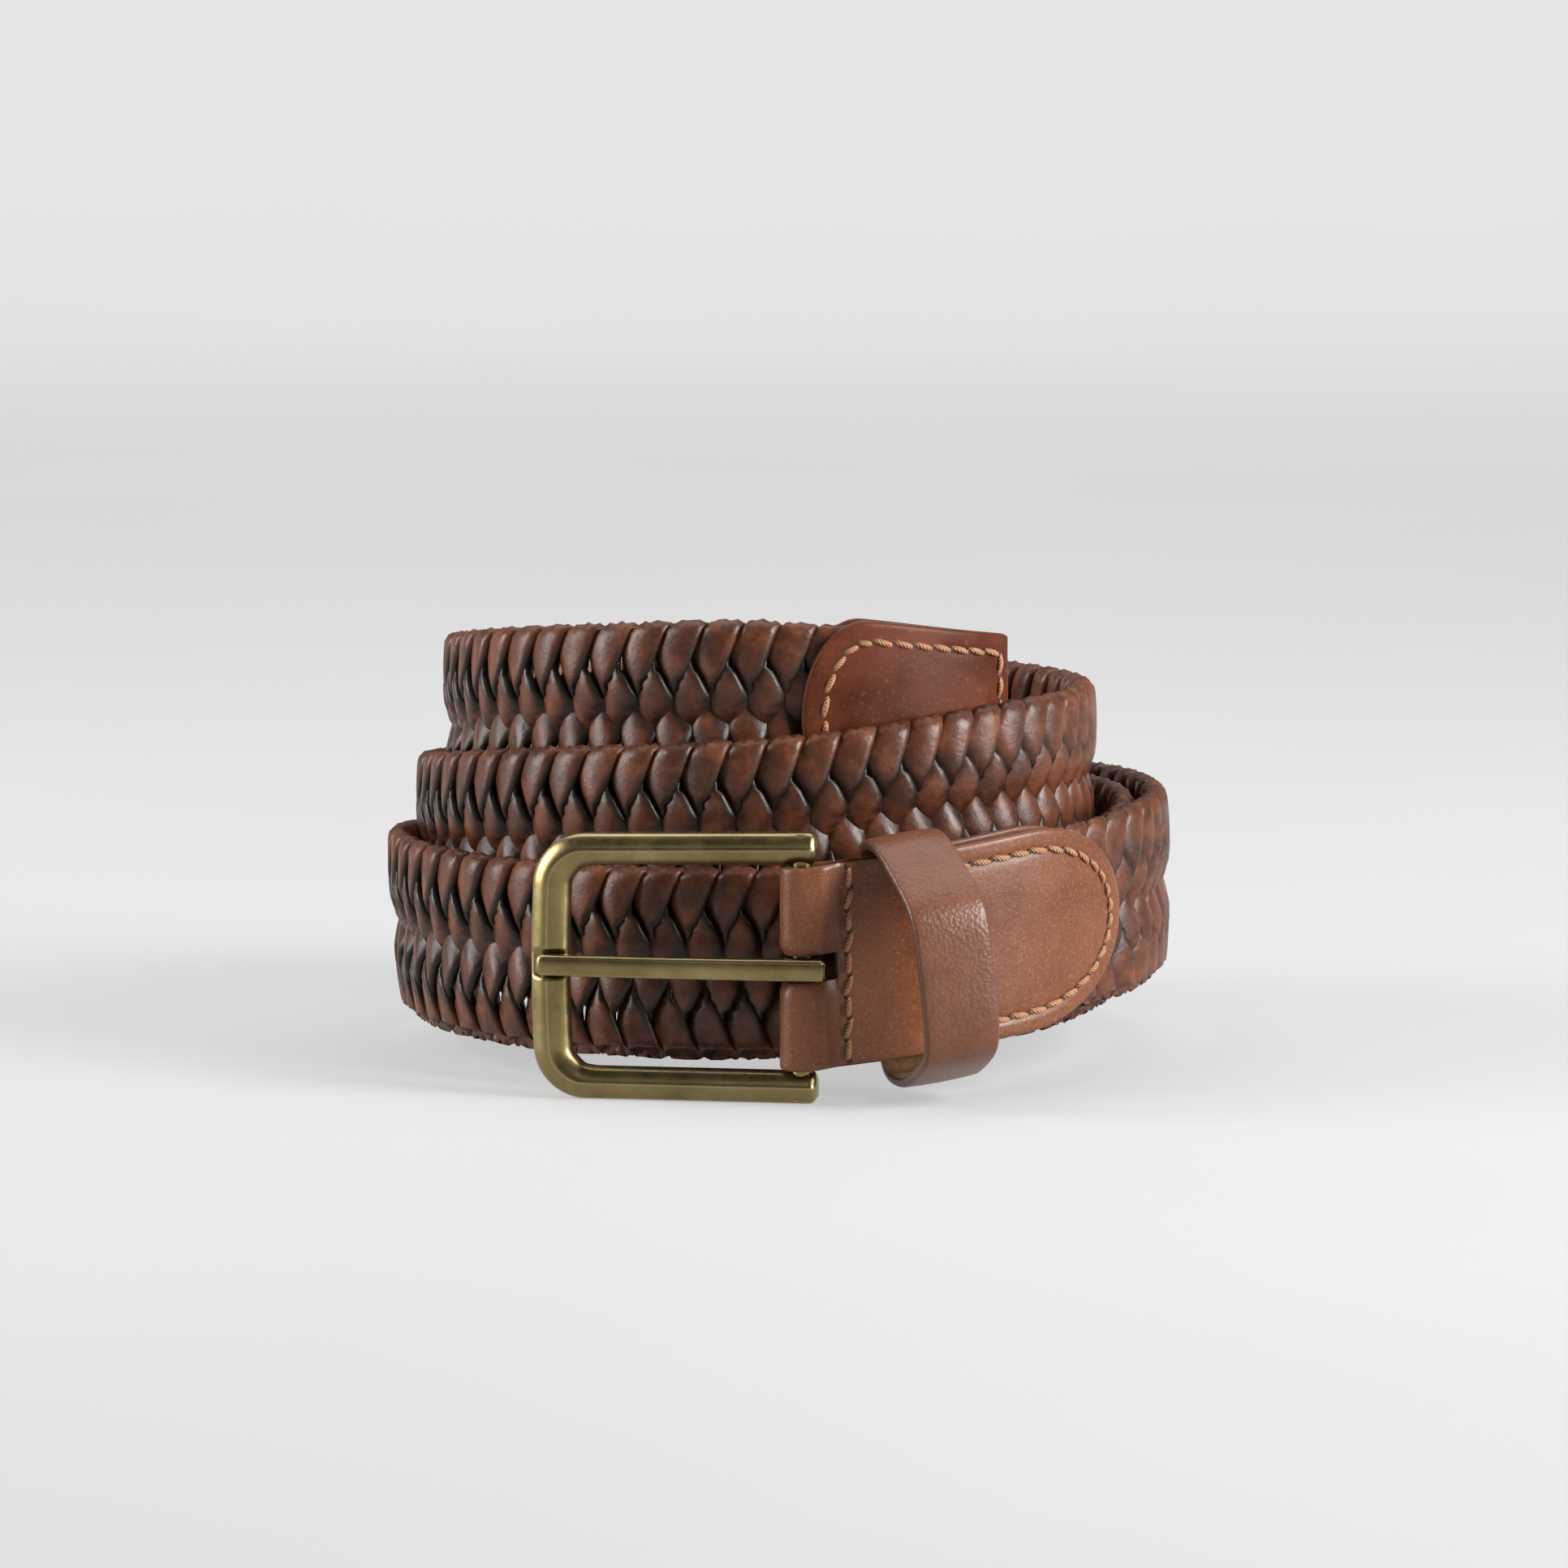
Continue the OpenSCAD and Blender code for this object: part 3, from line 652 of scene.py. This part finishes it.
def buckle_tab():
    """Leather folded round the pin. The length along it is 0 on the pin's far side, positive on
    the front wing and negative on the back one; within the fold a point lies on a half circle
    round the pin, and past it on the strap's path, at the wing's distance from its middle."""
    ring = FOLD_IN_R + LEATHER_T / 2
    bend = ring * math.pi / 2
    slot_half, slot_corner, sag = 2.25, 0.35, 0.18
    dense = TAB_LEN - ARCH_LEN * (1 - np.sin(np.linspace(0, math.pi / 2, 26)))
    dense[-1] = TAB_LEN - ALMOST_NOTHING
    slot_end = SLOT_LEN - 1.0
    wing = np.concatenate([
        np.linspace(0, slot_end - slot_corner, 12), [slot_end - 0.12, slot_end, slot_end + 0.01],
        np.linspace(slot_end + 0.6, TAB_LEN - ARCH_LEN - 0.5, 46), dense])
    fold = np.linspace(-bend, bend, 25)[1:-1]
    lengths = np.concatenate([-(wing[::-1] + bend), fold, wing + bend])
    x = np.maximum(np.abs(lengths) - bend, 0)
    half = arch_half(TAB_LEN - x, TAB_W / 2, ARCH_LEN)
    rounding = slot_corner * (1 - quarter_round((slot_end - x) / slot_corner))
    low_y = np.where(x <= slot_end, slot_half - rounding, 0.0)

    def depth_of(length, rise):
        """Distance in from the outline or from the slot, whichever is nearer."""
        run = np.maximum(np.abs(length) - bend, 0)
        outline = arch_depth(TAB_LEN - run, rise, TAB_W / 2, ARCH_LEN)
        slot_x = np.maximum(run - slot_end, 0)
        slot_y = np.maximum(np.abs(rise) - slot_half, 0)
        return np.minimum(outline, np.hypot(slot_x, slot_y))

    def place(length, rise, height):
        """The wings close on the braid past the fold, dip beside it and swell inside the stitches."""
        run = np.maximum(np.abs(length) - bend, 0)
        side = np.sign(length)
        near = FOLD_IN_R + (CORE_T / 2 - FOLD_IN_R) * smooth_step((run - 1) / (SLOT_LEN - 1))
        pinch = 1.65 * smooth_step((run - 2.6) / 4.2) * (1 - smooth_step((run - 7.6) / 12))
        puff = 0.16 * smooth_step((TAB_W / 2 - STITCH_INSET - np.abs(rise)) / 6) * smooth_step((run - 12) / 8)
        out = near + height - pinch * smooth_step(height / LEATHER_T) + puff * (height / LEATHER_T)
        flat = on_path(angle_after(PIN_ANGLE, run), side * out, rise)
        flat[..., 2] -= sag * (1 - smooth_step(run / 5))
        alpha = np.clip(length, -bend, bend) / ring
        radius = (FOLD_IN_R + height)[..., None]
        round_pin = (on_path(PIN_ANGLE) + outward(PIN_ANGLE) * radius * np.sin(alpha)[..., None]
                     - forward(PIN_ANGLE) * radius * np.cos(alpha)[..., None])
        round_pin[..., 2] += rise - sag
        return np.where((np.abs(length) < bend)[..., None], round_pin, flat)

    def painted_fold_shade(length):
        """Painted shade: a dark band where the leather bends in beside the fold."""
        return 0.80 * bell((np.abs(length) - bend - 5.2) / 1.9, 4)

    halves = [leather_half(s, lengths, half, low_y, place, depth_of, LEATHER_T, painted_fold_shade) for s in (1, -1)]
    return joined_halves("buckle_tab_leather", halves)


def tip_tab(name, side):
    """One leather of the tip: arched towards the buckle, square with small corners at the end."""
    corner = 1.6
    arch = TIP_ARCH_LEN * (1 - np.cos(np.linspace(0, math.pi / 2, 22)))
    arch[0] = ALMOST_NOTHING
    round_end = corner * np.sin(np.linspace(0, math.pi / 2, 7))
    lengths = np.concatenate([arch, np.linspace(TIP_ARCH_LEN + 0.8, TIP_LEN - corner - 0.1, 24),
                              TIP_LEN - corner + round_end])
    ended = np.clip(lengths - (TIP_LEN - corner), 0, corner)
    half = arch_half(lengths, TAB_W / 2, TIP_ARCH_LEN) - (corner - np.sqrt(corner**2 - ended**2))
    low_y = np.zeros_like(lengths)

    def depth_of(length, rise):
        """Distance in from the arch and the sides, or from the square end."""
        return np.minimum(arch_depth(length, rise, TAB_W / 2, TIP_ARCH_LEN), TIP_LEN - length)

    def place(length, rise, height):
        """Along the strap's path, on one face of the flattened braid, swelling inside the stitches."""
        angle = TIP_START + (END_ANGLE - TIP_START) * length / TIP_LEN
        puff = 0.12 * smooth_step((TAB_W / 2 - STITCH_INSET - np.abs(rise)) / 6) * (height / LEATHER_T)
        return on_path(angle, side * (CORE_T / 2 + height + puff), rise)

    halves = []
    loop = 2 * HALF_POINTS
    k = np.arange(HALF_POINTS - 1)
    first = np.stack([k, k + 1, loop - 2 - k, loop - 1 - k], -1)
    end_walls = np.concatenate([first + (len(lengths) - 1) * loop, first[:, ::-1]])
    for s in (1, -1):
        points, quads, uv, edge = leather_half(s, lengths, half, low_y, place, depth_of, LEATHER_T)
        halves.append((points, np.concatenate([quads, end_walls if s > 0 else end_walls[:, ::-1]]), uv, edge))
    return joined_halves(name, halves, flip=side < 0)


finished(outward_faces(buckle_tab()), TAB, "strap", "tab_leather", "buckle_tab")
finished(outward_faces(tip_tab("tip_tab_outer_leather", 1)), TIP, "strap", "tab_leather", "tip_tab_front")
finished(outward_faces(tip_tab("tip_tab_inner_leather", -1)), TIP, "strap", "tab_leather", "tip_tab_back")


# ---------------------------------------------------------------- stitching

PINCHED = 1.55                  # how far the leather's face lies in under the row beside the pin
TAB_ROW_START = 20.2            # length from the pin to the first holes, under the keeper
TUBE_SIDES = 8
THREAD_RINGS = 7
HOLE_RINGS = 5


def tab_stitch_places():
    """Holes round the buckle tab: along the top, round the arch and back along the bottom."""
    half, arch = TAB_W / 2 - STITCH_INSET, ARCH_LEN - STITCH_INSET
    turn_at = TAB_LEN - ARCH_LEN
    along = round((turn_at - TAB_ROW_START) / STITCH_PITCH)
    run = TAB_ROW_START + (turn_at - TAB_ROW_START) * np.arange(along + 1) / along
    a = np.radians(180 * np.arange(1, 16) / 16)
    length = np.concatenate([run, turn_at + arch * np.sin(a), run[::-1]])
    rise = np.concatenate([half + 0 * run, half * np.cos(a), -half + 0 * run])
    return angle_after(PIN_ANGLE, length), rise, TAB_T / 2


def cross_stitch_places():
    """Holes across the tab beside the pin."""
    half = TAB_W / 2 - 0.8
    count = round(2 * half / STITCH_PITCH)
    rise = half - 2 * half * np.arange(count + 1) / count
    weave = np.where(np.arange(count + 1) % 2 == 0, -0.25, 0.25)
    return angle_after(PIN_ANGLE, SLOT_LEN + CROSS_ROW_GAP + weave), rise, TAB_T / 2 - PINCHED


def tip_stitch_places():
    """Holes round the tip tab: up the arch, along the top, down the end and back."""
    half = TAB_W / 2 - STITCH_INSET
    arch, last = TIP_ARCH_LEN - STITCH_INSET, TIP_LEN - 2.6
    along = round((last - TIP_ARCH_LEN) / STITCH_PITCH)
    down = round(2 * half / STITCH_PITCH)
    a = np.radians(180 * np.arange(11) / 10)
    run = TIP_ARCH_LEN + (last - TIP_ARCH_LEN) * np.arange(1, along + 1) / along
    fall = half - 2 * half * np.arange(1, down + 1) / down
    length = np.concatenate([TIP_ARCH_LEN - arch * np.sin(a), run, last + 0 * fall, run[-2::-1],
                             [TIP_ARCH_LEN]])
    rise = np.concatenate([-half * np.cos(a), half + 0 * run, fall, -half + 0 * run[:-1], [-half]])
    return TIP_START + (END_ANGLE - TIP_START) * length / TIP_LEN, rise, TAB_T / 2


def tube_quads(tubes, rings):
    """Quads of several eight-sided tubes, ring after ring, each end closed by three quads."""
    k = np.arange(3)
    cap = np.stack([k, k + 1, 6 - k, 7 - k], -1)
    quads = np.concatenate([grid_quads(rings, TUBE_SIDES, False, True).reshape(-1, 4), cap[:, ::-1],
                            cap + TUBE_SIDES * (rings - 1)])
    return (quads[None] + TUBE_SIDES * rings * np.arange(tubes)[:, None, None]).reshape(-1, 4)


def stitches(name, places, side):
    """Short threads from hole to hole: an ellipse carried along a low arc that dives into the
    leather at both ends. The arc's lift is the sine of the share of the way, to the power 0.6,
    less a constant; the thread slants across the row, and thins towards both holes."""
    angle, rise, face = places
    share = np.linspace(0.03, 0.97, THREAD_RINGS)
    around = np.linspace(0, 2 * np.pi, TUBE_SIDES, endpoint=False)
    way = angle[:-1, None] + (angle[1:, None] - angle[:-1, None]) * share
    height = rise[:-1, None] + (rise[1:, None] - rise[:-1, None]) * share
    lift = -0.42 + 0.66 * np.sin(np.pi * share) ** 0.6
    centre = on_path(way, side * (face + lift), height)
    along = unit(np.gradient(centre, axis=1))
    out = outward(way) * side
    across = unit(np.cross(along, out))
    slant = 0.3 * (2 * share - 1)
    centre = centre + across * slant[None, :, None]
    wide = 0.52 * np.sin(np.pi * np.clip(share, 0.12, 0.88)) ** 0.3
    deep = wide * 0.36 / 0.44
    points = (centre[:, :, None]
              + across[:, :, None] * (np.cos(around)[None, :] * wide[:, None])[None, ..., None]
              + out[:, :, None] * (np.sin(around)[None, :] * deep[:, None])[None, ..., None])
    uv = np.stack(np.broadcast_arrays((share * 3.0)[:, None], (around / np.pi)[None, :]), -1)
    uv = np.broadcast_to(uv, (len(centre), THREAD_RINGS, TUBE_SIDES, 2))
    return outward_faces(fill_mesh(name, points, tube_quads(len(centre), THREAD_RINGS), uv))


def stitch_holes(name, places, side):
    """Painted shade of punched holes: dark low domes, half sunk in the leather's face at each hole."""
    angle, rise, face = places
    hole_r, bulge = 0.52, 0.16
    around = np.linspace(0, 2 * np.pi, TUBE_SIDES, endpoint=False)
    sink = np.linspace(0.15, math.pi - 0.15, HOLE_RINGS)
    middle = on_path(angle, side * (face - 0.06), rise)
    ring = np.sin(sink)[:, None] * hole_r
    points = (middle[:, None, None]
              + forward(angle)[:, None, None] * (ring * np.cos(around))[None, ..., None]
              + np.array([0.0, 0.0, 1.0]) * (ring * np.sin(around))[None, ..., None]
              + (outward(angle) * side)[:, None, None]
              * (bulge * np.cos(sink)[:, None] + 0 * around)[None, ..., None])
    return outward_faces(fill_mesh(name, points, tube_quads(len(angle), HOLE_RINGS)))


def merged(name, pieces):
    """One object from several, keeping their attributes."""
    bpy.ops.object.select_all(action="DESELECT")
    for piece in pieces:
        piece.select_set(True)
    bpy.context.view_layer.objects.active = pieces[0]
    bpy.ops.object.join()
    pieces[0].name = name
    pieces[0].data.name = name
    return pieces[0]


ROWS = [("tab", tab_stitch_places()), ("cross", cross_stitch_places()), ("tip", tip_stitch_places())]
for row, places in ROWS:
    threads = merged(row + "_stitch_threads", [stitches(row + "_front", places, 1),
                                               stitches(row + "_back", places, -1)])
    finished(threads, THREAD, "strap", "waxed_thread", row + "_stitches")
    # The hole pieces are dark domes that paint the shade of the punched holes.
    holes = merged(row + "_stitch_holes", [stitch_holes(row + "_front_holes", places, 1),
                                           stitch_holes(row + "_back_holes", places, -1)])
    finished(holes, HOLE_SHADE, "strap", "tab_leather")


# ---------------------------------------------------------------- keeper

KEEPER_W = 13.0
KEEPER_T = 1.6
KEEPER_ANGLE = 19.5
KEEPER_BACK = 4.368
KEEPER_BULGE = 13.0
KEEPER_INSIDE_H = 38.4
KEEPER_DROP = 0.9               # how far the loop hangs below the strap's middle
RING_POINTS = 220
HULL_ANGLES = 20000


def hull_outline(circles, count):
    """Outline round a set of circles, each (x, y, radius), at even steps. It is the envelope
    x cos a + y sin a = the greatest support of any circle, walked by angle a."""
    a = np.linspace(0, 2 * np.pi, HULL_ANGLES, endpoint=False)
    normal = np.stack([np.cos(a), np.sin(a)], -1)
    centre = np.array([c[:2] for c in circles])
    radius = np.array([c[2] for c in circles])
    best = (normal @ centre.T + radius).argmax(1)
    points = centre[best] + normal * radius[best][:, None]
    steps = np.linalg.norm(np.roll(points, -1, 0) - points, axis=1)
    walked = np.concatenate([[0], np.cumsum(steps)])
    at = np.linspace(0, walked[-1], count, endpoint=False)
    closed = np.concatenate([points, points[:1]])
    return np.stack([np.interp(at, walked, closed[:, i]) for i in range(2)], -1)


def smoothed_ring(points, rounds):
    """A closed outline with its corners eased: each round takes a quarter of both neighbours."""
    for _ in range(rounds):
        points = 0.5 * points + 0.25 * (np.roll(points, 1, 0) + np.roll(points, -1, 0))
    return points


def strip_section(wide, thick, corner, crown):
    """Section of a leather strip with rounded corners, its outer face along 0 and raised in the
    middle by a parabola of height crown, its inner face along -thick."""
    arc = np.linspace(0, math.pi / 2, 5)
    flat = np.linspace(-wide + corner, wide - corner, 9)
    a = np.concatenate([flat, wide - corner + corner * np.sin(arc[1:]), wide - corner + corner * np.cos(arc),
                        flat[::-1][1:-1], -wide + corner - corner * np.sin(arc),
                        (-wide + corner - corner * np.cos(arc))[:-1]])
    n = np.concatenate([0 * flat, -corner + corner * np.cos(arc[1:]), -thick + corner - corner * np.sin(arc),
                        0 * flat[1:-1] - thick, -thick + corner - corner * np.cos(arc),
                        (-corner + corner * np.sin(arc))[:-1]])
    return a, n + crown * (1 - (a / wide) ** 2) * (n > -corner / 2)


def keeper_loop():
    """A leather strip closed to a D-shaped ring: a rounded flat section carried round it, where a
    point is the ring's place, plus a along the belt, plus n out of the ring."""
    heading, climb = path_chord(KEEPER_ANGLE, 3)
    belt_way = np.array([math.cos(climb) * math.cos(heading), math.cos(climb) * math.sin(heading),
                         math.sin(climb)])
    inward = np.array([-math.sin(heading), math.cos(heading), 0.0])
    upward = np.cross(belt_way, inward)
    middle = on_path(KEEPER_ANGLE) - np.array([0, 0, KEEPER_DROP])
    back = KEEPER_BACK + KEEPER_T
    front = -TAB_T / 2 - KEEPER_BULGE - KEEPER_T
    half = KEEPER_INSIDE_H / 2 + KEEPER_T
    circles = [(back - 2.4, half - 2.4, 2.4), (back - 2.4, 2.4 - half, 2.4), (-3, 6 - half, 6),
               (-1, half - 6, 6), (front + 6, -half * 0.5, 6), (front + 6, half * 0.35, 6)]
    ring = smoothed_ring(hull_outline(circles, RING_POINTS), 60)
    along = unit(np.roll(ring, -1, 0) - np.roll(ring, 1, 0))
    centre = middle + ring[:, :1] * inward + ring[:, 1:] * upward
    out = along[:, 1:] * inward - along[:, :1] * upward
    a, n = strip_section(KEEPER_W / 2, KEEPER_T, 0.6, 0.22)
    points = centre[:, None] + belt_way * a[:, None] + out[:, None] * n[:, None]
    flesh = (n < 0.25 - KEEPER_T).astype(float)
    edge = np.clip((np.abs(a) - (KEEPER_W / 2 - 0.9)) / 0.9, 0, 1)
    uv = np.stack(np.broadcast_arrays(np.linspace(0, 1, RING_POINTS)[:, None],
                                      np.linspace(0, 1, len(a), endpoint=False)[None, :]), -1)
    numbers = {"inside": np.tile(flesh, (RING_POINTS, 1)), "edge": np.tile(edge, (RING_POINTS, 1))}
    quads = grid_quads(RING_POINTS, len(a), True, True)
    return outward_faces(fill_mesh("keeper_strip", points, quads, uv, numbers, merge=0.002))


finished(keeper_loop(), KEEPER, "keeper", "keeper_leather", "keeper_loop")


# ---------------------------------------------------------------- buckle

BAR_W = 5.3
FRAME_T = 5.2
FRAME_REACH = 44.8
EAR_OVER = 2.6
FRAME_CORNER_R = 8.5
FRAME_TAPER = 0.8
FRAME_H = 45.0
PRONG_W = 3.8
PRONG_T = 2.6
NOTCH_DEPTH = 1.3
EYE_CLEARANCE = 0.08
EYE_WALL = 1.3
FAR_BAR_EXTRA = 0.36            # the far bar's extra width towards the window, as a share


def in_frame(x, front, z):
    """Point in the frame's own directions: x along it from the pin, negative towards the far bar,
    front out of its front face, z up."""
    c, s = math.cos(FRAME_HEADING), math.sin(FRAME_HEADING)
    x, front, z = np.broadcast_arrays(x, front, z)
    return np.stack([PIN[0] + x * c + front * s, PIN[1] + x * s - front * c, z], -1)


def frame_middle_line():
    """Middle line of the frame's bar: along the upper side, round two corners, and back. Returns
    places x and z, the direction in towards the window, and the distance walked."""
    r = FRAME_CORNER_R - BAR_W / 2
    far = -FRAME_REACH + BAR_W / 2
    top0, top1 = FRAME_H - BAR_W / 2, FRAME_H - FRAME_TAPER - BAR_W / 2
    low, near = BAR_W / 2, EAR_OVER
    q = np.linspace(0, math.pi / 2, 16)
    x = np.concatenate([np.linspace(near, far + r, 60)[:-1], far + r - r * np.sin(q),
                        np.full(74, far), far + r - r * np.cos(q), np.linspace(far + r, near, 60)[1:]])
    run = (near - x[:59]) / (near - far - r)
    down = np.linspace(top1 - r, low + r, 76)[1:-1]
    z = np.concatenate([top0 + (top1 - top0) * run, top1 - r + r * np.cos(q), down,
                        low + r - r * np.sin(q), np.full(59, low)])
    line = np.stack([x, z], -1)
    along = unit(np.gradient(line, axis=0))
    inwards = np.stack([-along[:, 1], along[:, 0]], -1)
    walked = np.concatenate([[0], np.cumsum(np.linalg.norm(np.diff(line, axis=0), axis=1))])
    return line, inwards, walked


def buckle_frame():
    """One bar, domed along its front and flat behind, carried round the frame's middle line. It is
    rounded off at both ears and hollowed where the prong rests, and its far side is wider."""
    line, inwards, walked = frame_middle_line()
    half, thick = BAR_W / 2, FRAME_T / 2
    side = np.array([-1.0, -0.995, -0.97, -0.90, -0.78, -0.6, -0.42, -0.25, -0.1, 0.05, 0.2, 0.4, 0.6,
                     0.78, 0.90, 0.97, 0.995, 1.0])
    front = np.array([0.0, 0.18, 0.32, 0.46, 0.58, 0.72, 0.84, 0.93, 0.98, 1.0, 0.975, 0.89, 0.78,
                      0.64, 0.50, 0.34, 0.18, 0.0])
    back = -np.array([0.0, 0.45, 0.72, 0.9, 0.97, 1, 1, 1, 1, 1, 1, 1, 1, 0.97, 0.9, 0.72, 0.45, 0.0])
    from_end = np.minimum(walked, walked[-1] - walked)
    size = 1 - (1 - quarter_round(from_end / 1.5)) * 0.42
    a = size[:, None] * np.concatenate([side, side[::-1][1:-1]]) * half
    n = size[:, None] * np.concatenate([front, back[::-1][1:-1]]) * thick
    stout = smooth_step((-line[:, 0] - (FRAME_REACH - 11)) / 7)
    a = np.where(a > 0, a * (1 + FAR_BAR_EXTRA * stout[:, None]), a)
    far_bar = line[:, 0] < -FRAME_REACH + BAR_W
    hollow = far_bar * (1 - smooth_step((np.abs(line[:, 1] - PIN_HEIGHT) - PRONG_W / 2) / 0.55))
    middle_z = (FRAME_H - FRAME_TAPER) / 2
    bow = 0.8 * stout * (1 - (np.abs(line[:, 1] - middle_z) / middle_z) ** 2)
    line = line - np.stack([bow - 0.5 * stout, 0 * bow], -1)
    n = np.where(n > 0, n - hollow[:, None] * np.maximum(n - (thick - NOTCH_DEPTH), 0), n)
    points = in_frame(line[:, :1] + inwards[:, :1] * a, n, line[:, 1:] + inwards[:, 1:] * a)
    worn = np.concatenate([
        np.interp(side, [-1, -0.97, -0.88, -0.7, -0.12, 0.05, 0.22, 0.75, 0.9, 0.97, 1],
                  [0.15, 0.75, 0.35, 0.0, 0.0, 0.55, 0.0, 0.0, 0.5, 0.95, 0.3]),
        0.1 + 0 * side[1:-1]])
    worn = np.maximum(worn, (1 - smooth_step(from_end / 1.2))[:, None] * 0.7)
    points = capped(points)
    piece = fill_mesh("buckle_frame_casting", points, grid_quads(len(points), a.shape[1], False, True),
                      numbers={"edge": for_caps(worn)}, merge=0.003)
    return outward_faces(piece)


def prong():
    """A bowed bar with eased edges, its front and back following two curves along its length,
    with a squared heel past the pin, and a closed eye round the pin."""
    tip_x, heel_x = -FRAME_REACH + 1.0, 4.3
    end = 0.9 * np.sin(np.linspace(0, math.pi / 2, 9))
    x = np.concatenate([tip_x + 0.9 - 0.9 * np.cos(np.linspace(0, math.pi / 2, 9)),
                        np.linspace(tip_x + 1.6, heel_x - 1.6, 70), heel_x - 0.9 + end])
    u = np.clip(x / tip_x, 0, 1)
    tip_back, root_back = FRAME_T / 2 - NOTCH_DEPTH + 0.35, 4.2 - PRONG_T
    back = root_back + (tip_back - root_back) * u + 0.5 * np.sin(np.pi * u)
    front = back + PRONG_T * (1 - 0.12 * u)
    middle, deep = (front + back) / 2, (front - back) / 2
    close = np.minimum(quarter_round((x - tip_x) / 1.1), quarter_round((heel_x - x) / 1.3))
    a, n = box_oval(28, 0.55, 0.85)
    wide = PRONG_W / 2 * (0.94 + 0.06 * (1 - u)) * (0.55 + 0.45 * close)
    deep = deep * (0.45 + 0.55 * close)
    points = capped(in_frame(x[:, None], middle[:, None] + n * deep[:, None], PIN_HEIGHT + a * wide[:, None]))
    worn = 0.9 * bell((np.abs(a) - 0.86) / 0.10) * (n > 0.2)
    bar = fill_mesh("prong_bar", points, grid_quads(len(points), 28, False, True),
                    numbers={"edge": np.tile(worn, (len(points), 1))}, merge=0.003)
    t = np.linspace(0, 2 * np.pi, 48, endpoint=False)[:, None]
    a, n = box_oval(20, 0.5, 0.4)
    r = PIN_R + EYE_CLEARANCE + EYE_WALL / 2 * (1 + a)
    eye_points = in_frame(np.cos(t) * r, np.sin(t) * r, PIN_HEIGHT + PRONG_W / 2 * n)
    eye = fill_mesh("prong_eye", eye_points, grid_quads(48, 20, True, True),
                    numbers={"edge": np.zeros((48, 20))})
    return merged("prong_casting", [outward_faces(bar), outward_faces(eye)])


finished(buckle_frame(), BRASS, "buckle", "aged_brass", "buckle_frame")
finished(prong(), BRASS, "prong", "aged_brass", "prong")

# The pin and the staple keep the CAD's own mesh.
for node, material in (("heel_pin", BRASS), ("keeper_staple", STEEL)):
    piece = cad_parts[node]
    piece.data.materials.clear()
    piece.data.materials.append(material)


# ---------------------------------------------------------------- floor, light and camera

FLOOR_GLOW_FRONT, FLOOR_GLOW_BACK = 0.40, 0.71


def studio_floor():
    """A pale floor that sweeps up into a backdrop behind the belt: flat, then a quarter circle. It
    glows a little more towards the back, and takes a faint shadow."""
    f = Finish("studio_floor")
    split = f.tree.nodes.new("ShaderNodeSeparateXYZ")
    f.join(f.place, split.inputs["Vector"])
    glow = f.range(split.outputs["Y"], -0.3, 2.6, FLOOR_GLOW_FRONT, FLOOR_GLOW_BACK)
    f.join(glow, f.shader.inputs["Emission Strength"])
    f.shader.inputs["Emission Color"].default_value = (1, 1, 1, 1)
    tone = f.ramp(f.noise(3, 2), (0.3, (0.21, 0.21, 0.21)), (0.7, (0.23, 0.23, 0.23)))
    material = f.done(tone, 0.9, Specular_IOR_Level=0.0)
    q = np.linspace(0, math.pi / 2, 24)
    y = np.concatenate([[-3000, -400], 2200 + 900 * np.sin(q), [3100]])
    z = np.concatenate([[0, 0], 900 - 900 * np.cos(q), [3200]])
    x = np.array([-4000.0, 4000.0])
    points = np.stack(np.broadcast_arrays(x[None, :], y[:, None], z[:, None] - 0.02), -1)
    floor = fill_mesh("studio_floor", points, grid_quads(len(y), 2), flip=True)
    floor.data.materials.append(material)


def softbox(name, place, aim, size, power):
    """A rectangular lamp at a place, in metres, turned towards its aim."""
    light = bpy.data.lights.new(name, "AREA")
    light.shape = "RECTANGLE"
    light.size, light.size_y = size
    light.energy = power
    lamp = bpy.data.objects.new(name, light)
    lamp.location = place
    lamp.rotation_euler = (Vector(aim) - Vector(place)).to_track_quat("-Z", "Y").to_euler()
    bpy.context.scene.collection.objects.link(lamp)


studio_floor()
softbox("overhead_softbox", (0.0, 0.25, 1.1), (0, 0, 0.03), (1.3, 0.8), 8)
softbox("left_softbox", (-1.0, -0.10, 0.40), (0, 0, 0.04), (0.5, 0.8), 15)
softbox("right_softbox", (0.85, -0.40, 0.42), (0, 0, 0.04), (0.4, 0.7), 22)
softbox("front_fill", (-0.2, -1.8, 1.2), (0, 0, 0.04), (1.0, 0.5), 1.5)

world = bpy.data.worlds.new("studio")
world.use_nodes = True
world.node_tree.nodes["Background"].inputs["Color"].default_value = (0.9, 0.9, 0.9, 1)
world.node_tree.nodes["Background"].inputs["Strength"].default_value = 0.08
bpy.context.scene.world = world
bpy.context.scene.view_settings.view_transform = "Standard"

CAMERA_DISTANCE = 1200.0
CAMERA_TILT = math.radians(6.8)
AIM_HEIGHT = 45.0
AIM_RIGHT = 0.16
SENSOR = 36.0
FOCAL_LENGTH = 158.88075

lens = bpy.data.cameras.new("camera")
lens.sensor_width = SENSOR
lens.lens = FOCAL_LENGTH
lens.clip_start = 0.05
lens.clip_end = 20.0
camera = bpy.data.objects.new("camera", lens)
camera.location = ((AXIS[0] + AIM_RIGHT) * MM, (AXIS[1] - CAMERA_DISTANCE * math.cos(CAMERA_TILT)) * MM,
                   (AIM_HEIGHT + CAMERA_DISTANCE * math.sin(CAMERA_TILT)) * MM)
camera.rotation_euler = (math.pi / 2 - CAMERA_TILT, 0, 0)
bpy.context.scene.collection.objects.link(camera)
bpy.context.scene.camera = camera
